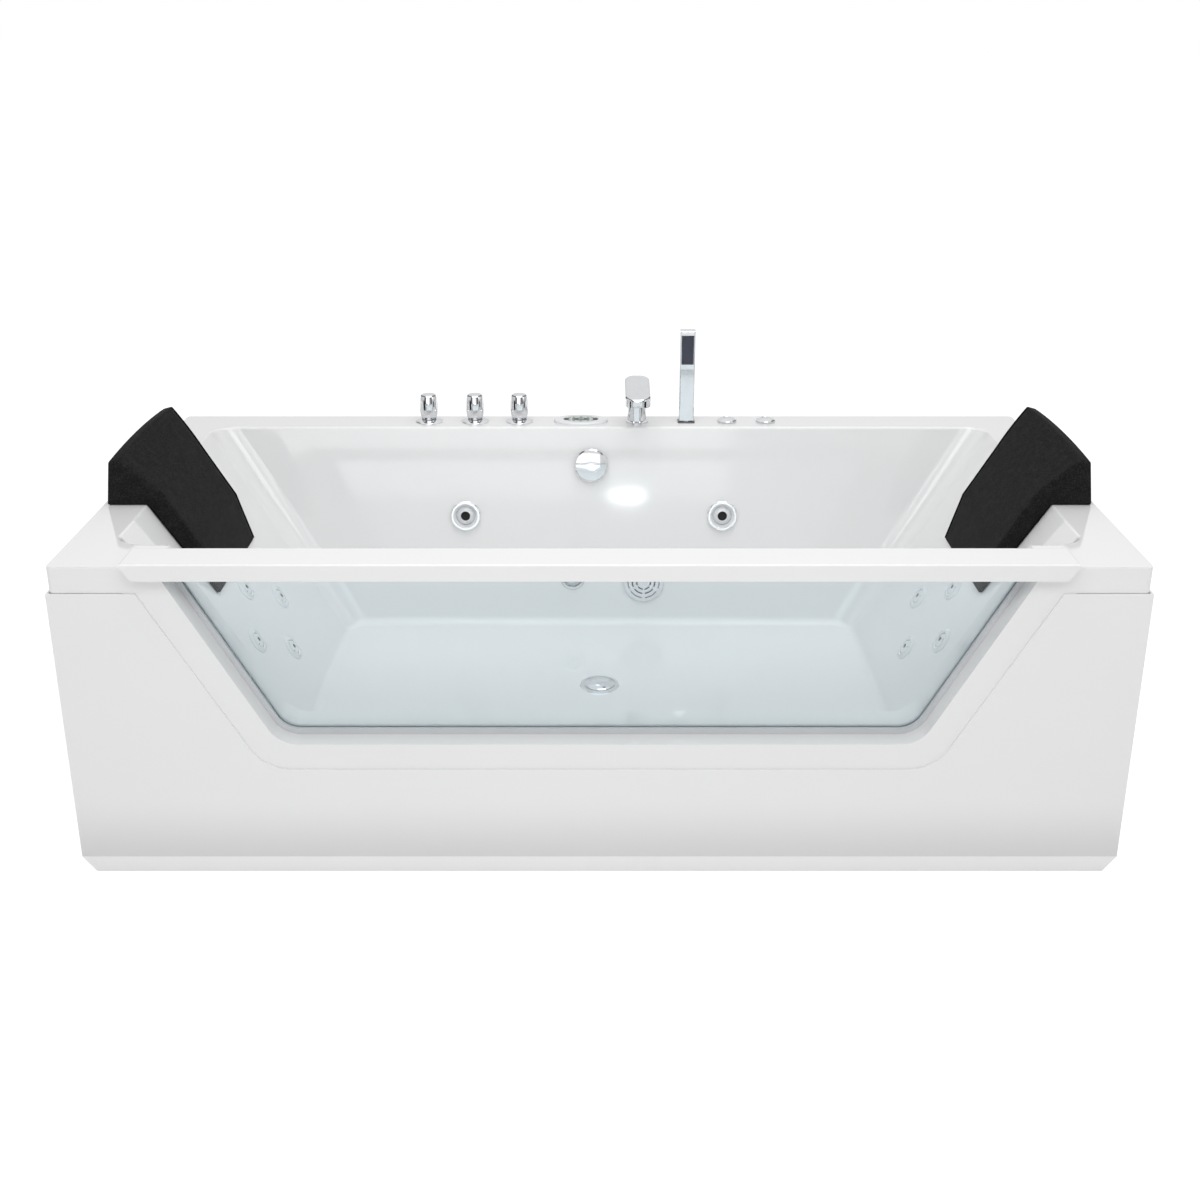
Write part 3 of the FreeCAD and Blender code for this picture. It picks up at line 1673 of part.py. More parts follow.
def make_panel():
    """The oval control panel: housing, display and two press buttons."""
    wall = size.sheet_wall
    gap = size.fit_gap
    rise = size.panel_height
    housing = add_body("panel_housing")
    plate = add_sketch(housing, "XY_Plane", "plate")
    ellipse(plate, size.panel_half_width, size.panel_half_depth)
    pad(housing, plate, rise)
    fillet(housing, rise * 0.6, lambda edge: edge.BoundBox.ZMin > rise.value - 0.01)
    box = add_sketch(housing, "XY_Plane", "box")
    outline(box, rectangle(*span(size.panel_box_half_width), *span(size.panel_box_half_depth)))
    pad(housing, box, wall * 7, reverse=True)
    window = add_sketch(housing, "XY_Plane", "window", rise)
    ellipse(window, size.panel_half_width * DISPLAY_SHARE, size.panel_half_depth * DISPLAY_SHARE)
    pocket(housing, window, wall * 0.6)
    wells = add_sketch(housing, "XY_Plane", "wells", rise)
    for side in (-1, 1):
        circle(wells, size.button_spread * side, 0, size.button_radius + gap)
    pocket(housing, wells, wall * 1.6)
    spot = (size.panel_x, size.fittings_y, size.deck_height)
    place(housing, *spot)

    display = add_body("panel_display")
    floor = rise - wall * 0.6
    glass = add_sketch(display, "XY_Plane", "glass", floor)
    ellipse(
        glass,
        size.panel_half_width * DISPLAY_SHARE - gap,
        size.panel_half_depth * DISPLAY_SHARE - gap,
    )
    pad(display, glass, wall * 0.5)
    holes = add_sketch(display, "XY_Plane", "holes", rise)
    for side in (-1, 1):
        circle(holes, size.button_spread * side, 0, size.button_radius + gap)
    pocket(display, holes, wall)
    place(display, *spot)

    for side, name in ((-1, "button_left"), (1, "button_right")):
        button = add_body(name)
        travel_room = rise - wall * 1.6 + size.button_travel + gap
        radius = size.button_radius
        top = rise + size.button_travel
        revolve(
            button,
            [
                (0, travel_room),
                (radius, travel_room),
                (radius, top - 0.6),
                (radius * 0.7, top),
                (0, top),
            ],
        )
        place(button, size.panel_x + size.button_spread * side, size.fittings_y, size.deck_height)


def span(half):
    """Low and high ends of a stretch that is centred on zero."""
    return -half, half


def make_spout():
    """The spout: a round column on a base ring with a broad head that leans over the basin."""
    wall = size.sheet_wall
    radius = size.spout_body_radius
    top = size.spout_top
    reach = size.spout_reach
    half = size.spout_half_width
    head = size.spout_head_height
    back = radius * 1.1
    spout = add_body("spout")
    side = add_sketch(spout, "YZ_Plane", "head")
    outline(
        side,
        [
            (back, top),
            (back, top - head * 1.5),
            (-radius, top - head * 1.5),
            (wall - reach, top - head * 1.9, head * 0.3),
            (-reach, top - head * 1.6, head * 0.2),
            (-reach, top - head),
        ],
    )
    pad(spout, side, half * 2, midplane=True)
    plan = add_sketch(spout, "XY_Plane", "plan", top)
    outline(plan, rectangle(-half * 2, half * 2, -reach * 1.5, reach))
    outline(
        plan,
        [
            (-half, -reach, half * 0.95),
            (half, -reach, half * 0.95),
            (half, back, half * 0.8),
            (-half, back, half * 0.8),
        ],
    )
    pocket(spout, plan, top)
    fillet(spout, size.spout_edge, lambda edge: edge.BoundBox.ZMin > (top - head * 1.05).value)
    revolve(
        spout,
        [
            (0, -wall * 7),
            (size.valve_neck_radius, -wall * 7),
            (size.valve_neck_radius, 0),
            (radius * 1.2, 0),
            (radius * 1.2, wall * 0.6),
            (radius, wall),
            (radius, top - head * 1.2),
            (0, top - head * 1.2),
        ],
        "column",
    )
    place(spout, size.spout_x, size.fittings_y, size.deck_height)


def make_shower():
    """The hand shower: a square-edged wand with a nozzle plate, standing in a sleeve in the deck."""
    wall = size.sheet_wall
    gap = size.fit_gap
    half = size.shower_half_width
    height = size.shower_height
    sleeve = size.holder_sleeve_radius
    plug = sleeve - 3
    holder = add_body("shower_holder")
    collar = add_sketch(holder, "XY_Plane", "collar")
    outline(collar, rectangle(*span(half + 2), *span(sleeve + 1), 3))
    pad(holder, collar, wall * 0.4)
    tube_face = add_sketch(holder, "XY_Plane", "sleeve")
    circle(tube_face, 0, 0, sleeve)
    pad(holder, tube_face, size.holder_depth, reverse=True)
    bore = add_sketch(holder, "XY_Plane", "bore", wall * 0.4)
    circle(bore, 0, 0, plug + gap)
    pocket(holder, bore, size.holder_depth * 1.2)
    spot = (size.shower_x, size.fittings_y, size.deck_height)
    place(holder, *spot)

    wand = add_body("hand_shower")
    foot = wall * 0.4 + gap
    depth = size.shower_depth
    plate_top = height - wall * 2
    plate_foot = plate_top - size.shower_plate_height
    side = add_sketch(wand, "YZ_Plane", "side")
    outline(
        side,
        [
            (-depth * 0.45, foot),
            (depth * 0.35, foot),
            Bow(height * 6),
            (depth * 0.35, height),
            (-depth * 0.65, height),
            (-depth * 0.65, plate_foot - wall * 2),
            Bow(height * 3, clockwise=True),
        ],
    )
    pad(wand, side, half * 2, midplane=True)
    fillet(wand, size.soft_edge * 0.75, lambda edge: edge.Length > half.value * 1.9)
    recess = add_sketch(wand, "XZ_Plane", "recess", depth * 0.65)
    plate_half = half * 0.82
    outline(recess, rectangle(*span(plate_half), plate_foot, plate_top))
    pocket(wand, recess, size.soft_edge)
    stub = add_sketch(wand, "XY_Plane", "stub", foot)
    circle(stub, 0, 0, plug)
    pad(wand, stub, size.holder_depth, reverse=True)
    place(wand, *spot)

    plate = add_body("shower_plate")
    face = add_sketch(plate, "XZ_Plane", "face", depth * 0.65 - size.soft_edge)
    inner = rectangle(*span(plate_half - gap), plate_foot + gap, plate_top - gap)
    outline(face, inner)
    pad(plate, face, size.soft_edge * 0.8)
    place(plate, *spot)


def make_air_controls():
    """Two air valves in the deck, each under a domed knob that turns."""
    wall = size.sheet_wall
    gap = size.fit_gap
    radius = size.air_valve_radius
    spindle = size.spindle_radius
    valve = add_body("air_valve")
    revolve(
        valve,
        [
            (0, -wall * 9),
            (radius, -wall * 9),
            (radius, 0),
            (radius + wall, 0),
            (radius + wall, wall * 0.4),
            (spindle, wall * 0.4),
            (spindle, wall),
            (0, wall),
        ],
    )
    spots = [(x, size.fittings_y, size.deck_height) for x in (size.air_left_x, size.air_right_x)]
    copies("air_valves", valve, spots)
    for name, spot in zip(("air_knob_left", "air_knob_right"), spots):
        knob = add_body(name)
        rim = size.air_knob_radius
        top = size.air_knob_height
        low = wall * 0.4 + gap
        revolve(
            knob,
            [
                (0, wall + gap),
                (spindle + gap, wall + gap),
                (spindle + gap, low),
                (rim, low),
                (rim, low + 1.5),
                Bow(rim * 1.6),
                (rim * 0.42, top),
                (rim * 0.36, top - 0.8),
                (0, top - 0.8),
            ],
        )
        place(knob, *spot)


# ---------------------------------------------------------------- headrests


def headrest_section(body, name, y, lift, taper):
    """One section of a headrest, from the deck over its crest and down the end wall to the tip."""
    gap = size.fit_gap
    deck = size.deck_height
    tip_height = headrest_tip
    tip_x = gap - end_wall_x(tip_height)
    section = add_sketch(body, "XZ_Plane", name, -y)
    outline(
        section,
        [
            (-rim_half - size.headrest_deck_reach, deck + gap),
            (gap - rim_half, deck + gap),
            (tip_x, tip_height),
            (tip_x + size.headrest_tip_wall, tip_height),
            (size.headrest_neck_reach - rim_half, deck - size.headrest_neck_drop),
            (size.headrest_nape_reach - rim_half, deck + size.headrest_nape_rise),
            Bow(size.headrest_crown_radius),
            (taper - rim_half - size.headrest_crest_reach, deck + size.headrest_rise + lift),
            (taper - rim_half - size.headrest_top_reach, deck + size.headrest_shoulder + lift),
        ],
    )
    return section


def make_headrests():
    """Two foam headrests that hang over the basin's end rims; the right one is the left one's mirror."""
    body = add_body("headrest_left")
    length = size.headrest_back - size.headrest_front
    sections = []
    for number in range(HEADREST_SECTIONS):
        share = number / (HEADREST_SECTIONS - 1)
        lift = size.headrest_back_lift * share + size.headrest_crown * (1 - (2 * share - 1) ** 2)
        y = size.headrest_front + length * share
        taper = size.headrest_back_taper * share
        sections.append(headrest_section(body, f"section_{number}", y, lift, taper))
    loft(body, sections)
    mirror("headrest_right", body)


# ---------------------------------------------------------------- pump, pipes and control box


def water_x():
    """Distance from the middle to the water pipe behind an end wall."""
    return end_wall_x(end_jet_height) + size.water_offset / end_stretch


def make_pump():
    """The circulation pump: motor with cooling fins and feet, and the volute with its two ports."""
    wall = size.sheet_wall
    gap = size.fit_gap
    motor_radius = size.pump_motor_radius
    motor = add_body("pump_motor")
    length = size.pump_length
    revolve(
        motor,
        [
            (0, -wall * 2),
            (motor_radius * 0.7, -wall * 2),
            (motor_radius, wall),
            (motor_radius, length),
            (0, length),
        ],
    )
    fin = add_sketch(motor, "XY_Plane", "fin", wall * 3)
    outline(fin, rectangle(motor_radius - 2, motor_radius + wall, *span(wall * 0.3)))
    repeat(motor, pad(motor, fin, length - wall * 6), MOTOR_FINS)
    foot_depth = pump_height - board_under
    foot = add_sketch(motor, "XY_Plane", "foot", wall * 3)
    half = size.pump_foot_half
    outline(
        foot,
        [
            (-half, foot_depth - wall),
            (-motor_radius * 0.6, foot_depth - wall * 2),
            (-motor_radius * 0.6, motor_radius * 0.5),
            (motor_radius * 0.6, motor_radius * 0.5),
            (motor_radius * 0.6, foot_depth - wall * 2),
            (half, foot_depth - wall),
            (half, foot_depth),
            (-half, foot_depth),
        ],
    )
    pad(motor, foot, length * 0.6)
    back_turn = Size(-90, "-90 deg")
    place(motor, pump_middle(), size.pump_front, pump_height, Vector(1, 0, 0), back_turn)

    volute = add_body("pump_volute")
    radius = size.pump_volute_radius
    depth = size.pump_back - size.pump_front - length
    port = size.suction_pipe_radius
    revolve(
        volute,
        [
            (0, gap),
            (radius * 0.8, gap),
            (radius, wall * 2),
            (radius, depth - wall * 3),
            (radius * 0.8, depth - wall),
            (port + wall, depth - wall),
            (port + wall, depth + wall * 4),
            (port + gap, depth + wall * 4),
            (port + gap, depth),
            (0, depth),
        ],
    )
    rise = water_level() - pump_height
    outlet = add_sketch(volute, "YZ_Plane", "outlet")
    circle(outlet, -rise, depth / 2, size.water_pipe_radius)
    pad(volute, outlet, pump_middle() - water_x() - size.water_pipe_radius - gap, reverse=True)
    place(volute, pump_middle(), size.pump_front + length, pump_height, Vector(1, 0, 0), back_turn)


def water_level():
    """Height of the water pipe's cross behind the end jets."""
    return end_jet_height - end_slope * size.water_offset / end_stretch


def straight(start, finish, radius):
    """A round bar from one point to another."""
    start = Vector(*[as_size(amount).value for amount in start])
    finish = Vector(*[as_size(amount).value for amount in finish])
    along = finish - start
    return Part.makeCylinder(as_size(radius).value, along.Length, start, along)


def jet_chambers():
    """The space that the jets' bodies and nuts take behind the walls."""
    wall = size.sheet_wall
    chambers = []
    for x in (size.jet_left_x, size.jet_right_x):
        spot = on_back_wall(x, jet_height)
        chambers.append(chamber(size.jet_depth, size.jet_barrel_radius, spot))
        chambers.append(chamber(wall * 3, size.jet_barrel_radius + wall * 1.4, spot))
    for side in (-1, 1):
        for place_on_wall in end_jet_spots():
            spot = on_end_wall(side, *place_on_wall)
            chambers.append(chamber(size.end_jet_depth, size.end_jet_barrel_radius, spot))
            chambers.append(chamber(wall * 2.6, size.end_jet_barrel_radius + wall, spot))
    return chambers


def jet_service(name, offset, main_y, main_height, radius, branches):
    """One service's pipes: a cross among the jets of each end, and a run round the back with branches."""
    spots = [behind_end_wall(-1, *spot, offset) for spot in end_jet_spots()]
    cross = straight(spots[3], spots[1], radius).fuse(straight(spots[2], spots[0], radius))
    x, start_y, level = spots[1]
    bend = radius * 3
    quarter = [(x, start_y, level), (x, main_y - bend * 2, level), (x, main_y, main_height)]
    if abs(main_height.value - level.value) < size.fit_gap.value:
        quarter = [quarter[0], quarter[2]]
    run = tube(quarter + [(-x, y, z) for x, y, z in reversed(quarter)], bend, radius)
    chambers = jet_chambers()
    cross = cross.cut(chambers)
    other_cross = cross.mirror(Vector(0, 0, 0), Vector(1, 0, 0))
    run = run.multiFuse(branches).cut(chambers)
    add_shape(name, Part.makeCompound([cross, other_cross, run]))


def make_jet_pipes():
    """Water and air pipes of the jets, in stretches between the jets' bodies."""
    air_level = end_jet_height - end_slope * size.air_offset / end_stretch
    branch = size.air_pipe_radius
    top = jet_height - size.jet_barrel_radius / 2
    water_branches = []
    air_branches = []
    for x in (size.jet_left_x, size.jet_right_x):
        water_start = (x, size.water_main_y, water_main_height)
        water_branches.append(straight(water_start, (x, size.water_main_y, top), branch))
        air_branches.append(straight((x, size.air_main_y, air_level), (x, size.air_main_y, top), branch))
    valve_under = size.deck_height - size.sheet_wall * 9 - size.fit_gap
    bend = branch * 3
    for x in (size.air_left_x, size.air_right_x):
        points = [
            (x, size.fittings_y, valve_under),
            (x, size.fittings_y, valve_under - bend * 1.4),
            (x + size.air_drop_shift, size.air_main_y, jet_height + branch),
            (x + size.air_drop_shift, size.air_main_y, air_level),
        ]
        air_branches.append(tube(points, bend, branch))
    pipe = size.water_pipe_radius
    jet_service("water_pipes", size.water_offset, size.water_main_y, water_main_height, pipe, water_branches)
    jet_service("air_pipes", size.air_offset, size.air_main_y, air_level, branch, air_branches)


def make_control_box():
    """The box that holds the electrics, standing on the frame, with its cable gland."""
    box = add_body("control_box")
    half = size.box_half_length
    depth = size.box_depth
    plan = add_sketch(box, "XY_Plane", "plan")
    outline(plan, rectangle(*span(half), *span(depth / 2), size.lining_wall))
    pad(box, plan, size.box_height)
    fillet(box, size.soft_edge, lambda edge: edge.BoundBox.ZMin > size.box_height.value - 0.01)
    gland = add_sketch(box, "XZ_Plane", "gland", -depth / 2)
    circle(gland, 0, size.box_height / 2, size.inlet_radius)
    pad(box, gland, size.sheet_wall * 3, reverse=True)
    entry = add_sketch(box, "XZ_Plane", "entry", -(depth / 2 + size.sheet_wall * 3))
    circle(entry, 0, size.box_height / 2, size.inlet_radius / 2)
    pocket(box, entry, size.sheet_wall * 4, reverse=True)
    place(box, size.box_inset - half_width, size.rail_spread - depth / 2, board_under)


def node_objects():
    """Every sub-part of the finished document, by node name."""
    inner = {"basin_inside", "basin_outside", "levelling_foot", "lock_nut", "back_jet_body", "end_jet_body",
             "deck_valve", "tap_flange", "air_valve"}
    kinds = ("PartDesign::Body", "Part::Compound", "Part::Cut", "Part::Mirroring", "Part::Feature")
    nodes = {}
    for item in document.Objects:
        if item.TypeId in kinds and item.Label not in inner:
            nodes[item.Label] = item
    return nodes


def build():
    """Model every sub-part, check the document and write one file for each node."""
    make_tub_shell()
    make_window_seal()
    make_window_glass()
    make_front_rail()
    make_front_apron()
    left_apron = make_left_apron()
    mirror("right_apron", left_apron)
    make_plinth()
    make_base_board()
    make_steel_frame()
    make_feet()
    make_waste()
    make_overflow()
    make_back_jets()
    make_end_jets()
    make_suction()
    make_lamp()
    make_taps()
    make_panel()
    make_spout()
    make_shower()
    make_air_controls()
    make_headrests()
    make_pump()
    make_jet_pipes()
    make_control_box()
    document.recompute()
    for item in document.Objects:
        if "Invalid" in item.State or "Error" in item.State:
            raise RuntimeError(f"{item.Name} failed: {item.State}")
    os.makedirs("parts", exist_ok=True)
    for name, item in sorted(node_objects().items()):
        shape = item.Shape
        if shape.isNull() or not shape.isValid() or not shape.Solids:
            raise RuntimeError(f"{name} has no valid solid")
        shape.exportStep(os.path.join("parts", f"{name}.step"))
        print(f"{name}: {len(shape.Solids)} solid(s), {shape.Volume / 1000:.1f} cm3")


build()
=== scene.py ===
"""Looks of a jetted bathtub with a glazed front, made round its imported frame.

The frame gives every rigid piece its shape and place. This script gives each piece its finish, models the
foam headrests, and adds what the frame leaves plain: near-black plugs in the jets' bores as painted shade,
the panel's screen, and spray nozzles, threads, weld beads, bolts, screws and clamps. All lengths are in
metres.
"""

import logging
import math
from collections.abc import Iterable, Mapping, Sequence
from dataclasses import dataclass, field
from enum import Enum
from functools import reduce
from typing import Any

import bmesh
import bpy
from mathutils import Matrix, Vector


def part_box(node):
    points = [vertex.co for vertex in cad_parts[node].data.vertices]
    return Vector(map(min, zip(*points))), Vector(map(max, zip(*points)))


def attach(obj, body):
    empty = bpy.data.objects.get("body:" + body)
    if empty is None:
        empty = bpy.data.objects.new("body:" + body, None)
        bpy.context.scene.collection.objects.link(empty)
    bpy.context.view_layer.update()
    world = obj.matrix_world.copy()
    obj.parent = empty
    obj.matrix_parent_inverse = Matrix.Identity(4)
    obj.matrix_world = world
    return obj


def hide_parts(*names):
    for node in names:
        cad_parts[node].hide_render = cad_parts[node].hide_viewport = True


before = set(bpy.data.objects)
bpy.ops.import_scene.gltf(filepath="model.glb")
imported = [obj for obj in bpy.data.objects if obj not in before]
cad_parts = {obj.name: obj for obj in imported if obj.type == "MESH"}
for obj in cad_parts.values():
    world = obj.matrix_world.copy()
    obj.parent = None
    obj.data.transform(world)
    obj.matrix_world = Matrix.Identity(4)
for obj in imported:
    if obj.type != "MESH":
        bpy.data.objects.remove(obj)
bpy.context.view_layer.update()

LOG = logging.getLogger("bathtub")

Colour = tuple[float, float, float]
Point = tuple[float, float, float]


def grey(level: float) -> Colour:
    """A grey of one level."""
    return (level, level, level)


# ---------------------------------------------------------------- node trees


class Value:
    """A number in a node tree, on which arithmetic adds Math nodes."""

    def __init__(self, builder: "TreeBuilder", socket: bpy.types.NodeSocket) -> None:
        """Wraps an output socket of a builder's tree."""
        self.builder = builder
        self.socket = socket

    def _math(self, operation: str, *operands: "Value | float") -> "Value":
        """Adds one Math node.

        Args:
            operation: the Math node's operation.
            operands: its inputs, in order.

        Returns:
            The node's result.
        """
        settings = {"operation": operation}
        node = self.builder.node("ShaderNodeMath", settings, dict(enumerate(operands)))
        return Value(self.builder, node.outputs[0])

    def __add__(self, other: "Value | float") -> "Value":
        """The sum."""
        return self._math("ADD", self, other)

    __radd__ = __add__

    def __mul__(self, other: "Value | float") -> "Value":
        """The product."""
        return self._math("MULTIPLY", self, other)

    __rmul__ = __mul__

    def __sub__(self, other: "Value | float") -> "Value":
        """The difference."""
        return self._math("SUBTRACT", self, other)

    def __rsub__(self, other: "Value | float") -> "Value":
        """The difference, from the other."""
        return self._math("SUBTRACT", other, self)

    def __gt__(self, other: "Value | float") -> "Value":
        """1 where this is greater, and otherwise 0."""
        return self._math("GREATER_THAN", self, other)

    def __lt__(self, other: "Value | float") -> "Value":
        """1 where this is less, and otherwise 0."""
        return self._math("LESS_THAN", self, other)

    def __abs__(self) -> "Value":
        """The size without its sign."""
        return self._math("ABSOLUTE", self)

    def larger(self, other: "Value | float") -> "Value":
        """The larger of the two."""
        return self._math("MAXIMUM", self, other)

    def ease(self, low: float, high: float) -> "Value":
        """Rises smoothly from 0 at low to 1 at high.

        Args:
            low: where the rise starts.
            high: where it ends.

        Returns:
            The eased number.
        """
        settings = {"interpolation_type": "SMOOTHSTEP"}
        inputs = {"Value": self, "From Min": low, "From Max": high}
        node = self.builder.node("ShaderNodeMapRange", settings, inputs)
        return Value(self.builder, node.outputs["Result"])


class TreeBuilder:
    """Adds nodes to one node tree."""

    def __init__(self, tree: bpy.types.NodeTree) -> None:
        """Empties the tree and keeps it."""
        self.tree = tree
        tree.nodes.clear()

    def node(
        self,
        kind: str,
        settings: Mapping[str, Any] | None = None,
        inputs: Mapping[str | int, Any] | None = None,
    ) -> bpy.types.Node:
        """Adds one node.

        Args:
            kind: the node's type.
            settings: its properties, set first; stops are a ramp's positions and colours.
            inputs: values or links for its sockets, by name or number.

        Returns:
            The node.
        """
        made = self.tree.nodes.new(kind)
        for name, value in (settings or {}).items():
            if name == "stops":
                self._set_stops(made.color_ramp, value)
            else:
                setattr(made, name, value)
        for name, value in (inputs or {}).items():
            self._feed(made.inputs[name], value)
        return made

    def _feed(self, socket: bpy.types.NodeSocket, value: Any) -> None:
        """Links or sets one input socket.

        Args:
            socket: the input.
            value: a link's source, or the value to set.
        """
        source = value.socket if isinstance(value, Value) else value
        if isinstance(source, bpy.types.NodeSocket):
            self.tree.links.new(source, socket)
        else:
            socket.default_value = source

    @staticmethod
    def _set_stops(ramp: bpy.types.ColorRamp, stops: Sequence[tuple[float, Colour]]) -> None:
        """Gives a colour ramp its stops.

        Args:
            ramp: the ramp, which has two stops or more.
            stops: each stop's position and colour.
        """
        while len(ramp.elements) < len(stops):
            ramp.elements.new(1.0)
        for element, (position, colour) in zip(ramp.elements, stops):
            element.position = position
            element.color = (*colour, 1.0)


class ShaderTree(TreeBuilder):
    """The node tree of one material or world, with the patterns that the finishes share."""

    def __init__(self, owner: bpy.types.Material | bpy.types.World) -> None:
        """Starts an empty tree on a material or a world."""
        owner.use_nodes = True
        super().__init__(owner.node_tree)
        self.owner = owner
        self.place = self.node("ShaderNodeTexCoord").outputs["Object"]

    def scaled(self, stretch: Point) -> bpy.types.NodeSocket:
        """The object's own coordinates, stretched along each axis."""
        return self.node("ShaderNodeMapping", None, {"Vector": self.place, "Scale": stretch}).outputs[0]

    def noise(
        self,
        scale: float,
        detail: float = 2.0,
        distortion: float = 0.0,
        place: bpy.types.NodeSocket | None = None,
    ) -> Value:
        """Smooth noise from 0 to 1.

        Args:
            scale: how many waves there are in a metre.
            detail: how many finer layers there are.
            distortion: how much the pattern is bent by itself.
            place: the coordinates, if not the object's own.

        Returns:
            The noise.
        """
        inputs = {"Vector": place or self.place, "Scale": scale, "Detail": detail, "Distortion": distortion}
        return Value(self, self.node("ShaderNodeTexNoise", None, inputs).outputs[0])

    def cells(self, scale: float, feature: str = "F1", output: str = "Distance") -> Value:
        """A cell pattern.

        Args:
            scale: how many cells there are in a metre.
            feature: which distance is measured.
            output: the output to take.

        Returns:
            The pattern's value.
        """
        inputs = {"Vector": self.place, "Scale": scale}
        return Value(self, self.node("ShaderNodeTexVoronoi", {"feature": feature}, inputs).outputs[output])

    def vector_dot(self, first: Any, second: Any) -> Value:
        """The dot product of two vectors."""
        node = self.node("ShaderNodeVectorMath", {"operation": "DOT_PRODUCT"}, {0: first, 1: second})
        return Value(self, node.outputs["Value"])

    def from_point(self, point: Point) -> bpy.types.NodeSocket:
        """The vector from a point to the surface."""
        settings = {"operation": "SUBTRACT"}
        return self.node("ShaderNodeVectorMath", settings, {0: self.place, 1: point}).outputs["Vector"]

    def along(self, axis: int) -> Value:
        """The place along one axis, 0 to 2."""
        return Value(self, self.node("ShaderNodeSeparateXYZ", None, {0: self.place}).outputs[axis])

    def mix(self, factor: Value | float, low: Any, high: Any) -> bpy.types.NodeSocket:
        """Mixes two colours.

        Args:
            factor: 0 for low and 1 for high.
            low: a colour or a colour socket.
            high: the other.

        Returns:
            The mixed colour.
        """
        colours = [(*end, 1.0) if isinstance(end, tuple) else end for end in (low, high)]
        inputs = {0: factor, 6: colours[0], 7: colours[1]}
        return self.node("ShaderNodeMix", {"data_type": "RGBA"}, inputs).outputs[2]

    def bump(self, height: Value, depth: float) -> bpy.types.NodeSocket:
        """A normal that follows a height from 0 to 1, which stands depth metres high."""
        return self.node("ShaderNodeBump", None, {"Height": height, "Distance": depth}).outputs["Normal"]

    def rays(self, *kinds: str) -> Value:
        """1 for light rays of any of the kinds that are named."""
        path = self.node("ShaderNodeLightPath")
        return reduce(Value.larger, (Value(self, path.outputs[f"Is {kind} Ray"]) for kind in kinds))

    def principled(self, inputs: Mapping[str, Any]) -> bpy.types.NodeSocket:
        """Adds the surface shader with these sockets."""
        return self.node("ShaderNodeBsdfPrincipled", None, inputs).outputs[0]

    def close(self, surface: bpy.types.NodeSocket) -> None:
        """Joins a shader to the tree's output."""
        world = isinstance(self.owner, bpy.types.World)
        kind = "ShaderNodeOutputWorld" if world else "ShaderNodeOutputMaterial"
        self.node(kind, None, {"Surface": surface})


# ---------------------------------------------------------------- finishes


@dataclass(frozen=True)
class Finish:
    """What every finish has: a name, the record's material slot, and a way to dress a shader tree."""

    name: str
    slot: str

    def sockets(self, tree: ShaderTree) -> dict[str, Any]:
        """What the finish looks like. Each kind of finish gives its own.

        Args:
            tree: the material's tree.

        Returns:
            The surface shader's sockets.
        """
        raise NotImplementedError

    def material(self) -> bpy.types.Material:
        """The finish as a material, made the first time it is asked for."""
        found = bpy.data.materials.get(self.name)
        if found is None:
            found = bpy.data.materials.new(self.name)
            tree = ShaderTree(found)
            tree.close(tree.principled(self.sockets(tree)))
        return found


class GoodSide(Enum):
    """Which faces of a moulded sheet have the glossy skin; the others show the glass-fibre backing."""

    ALL = "all"
    INSIDE = "inside"
    OUTSIDE = "outside"


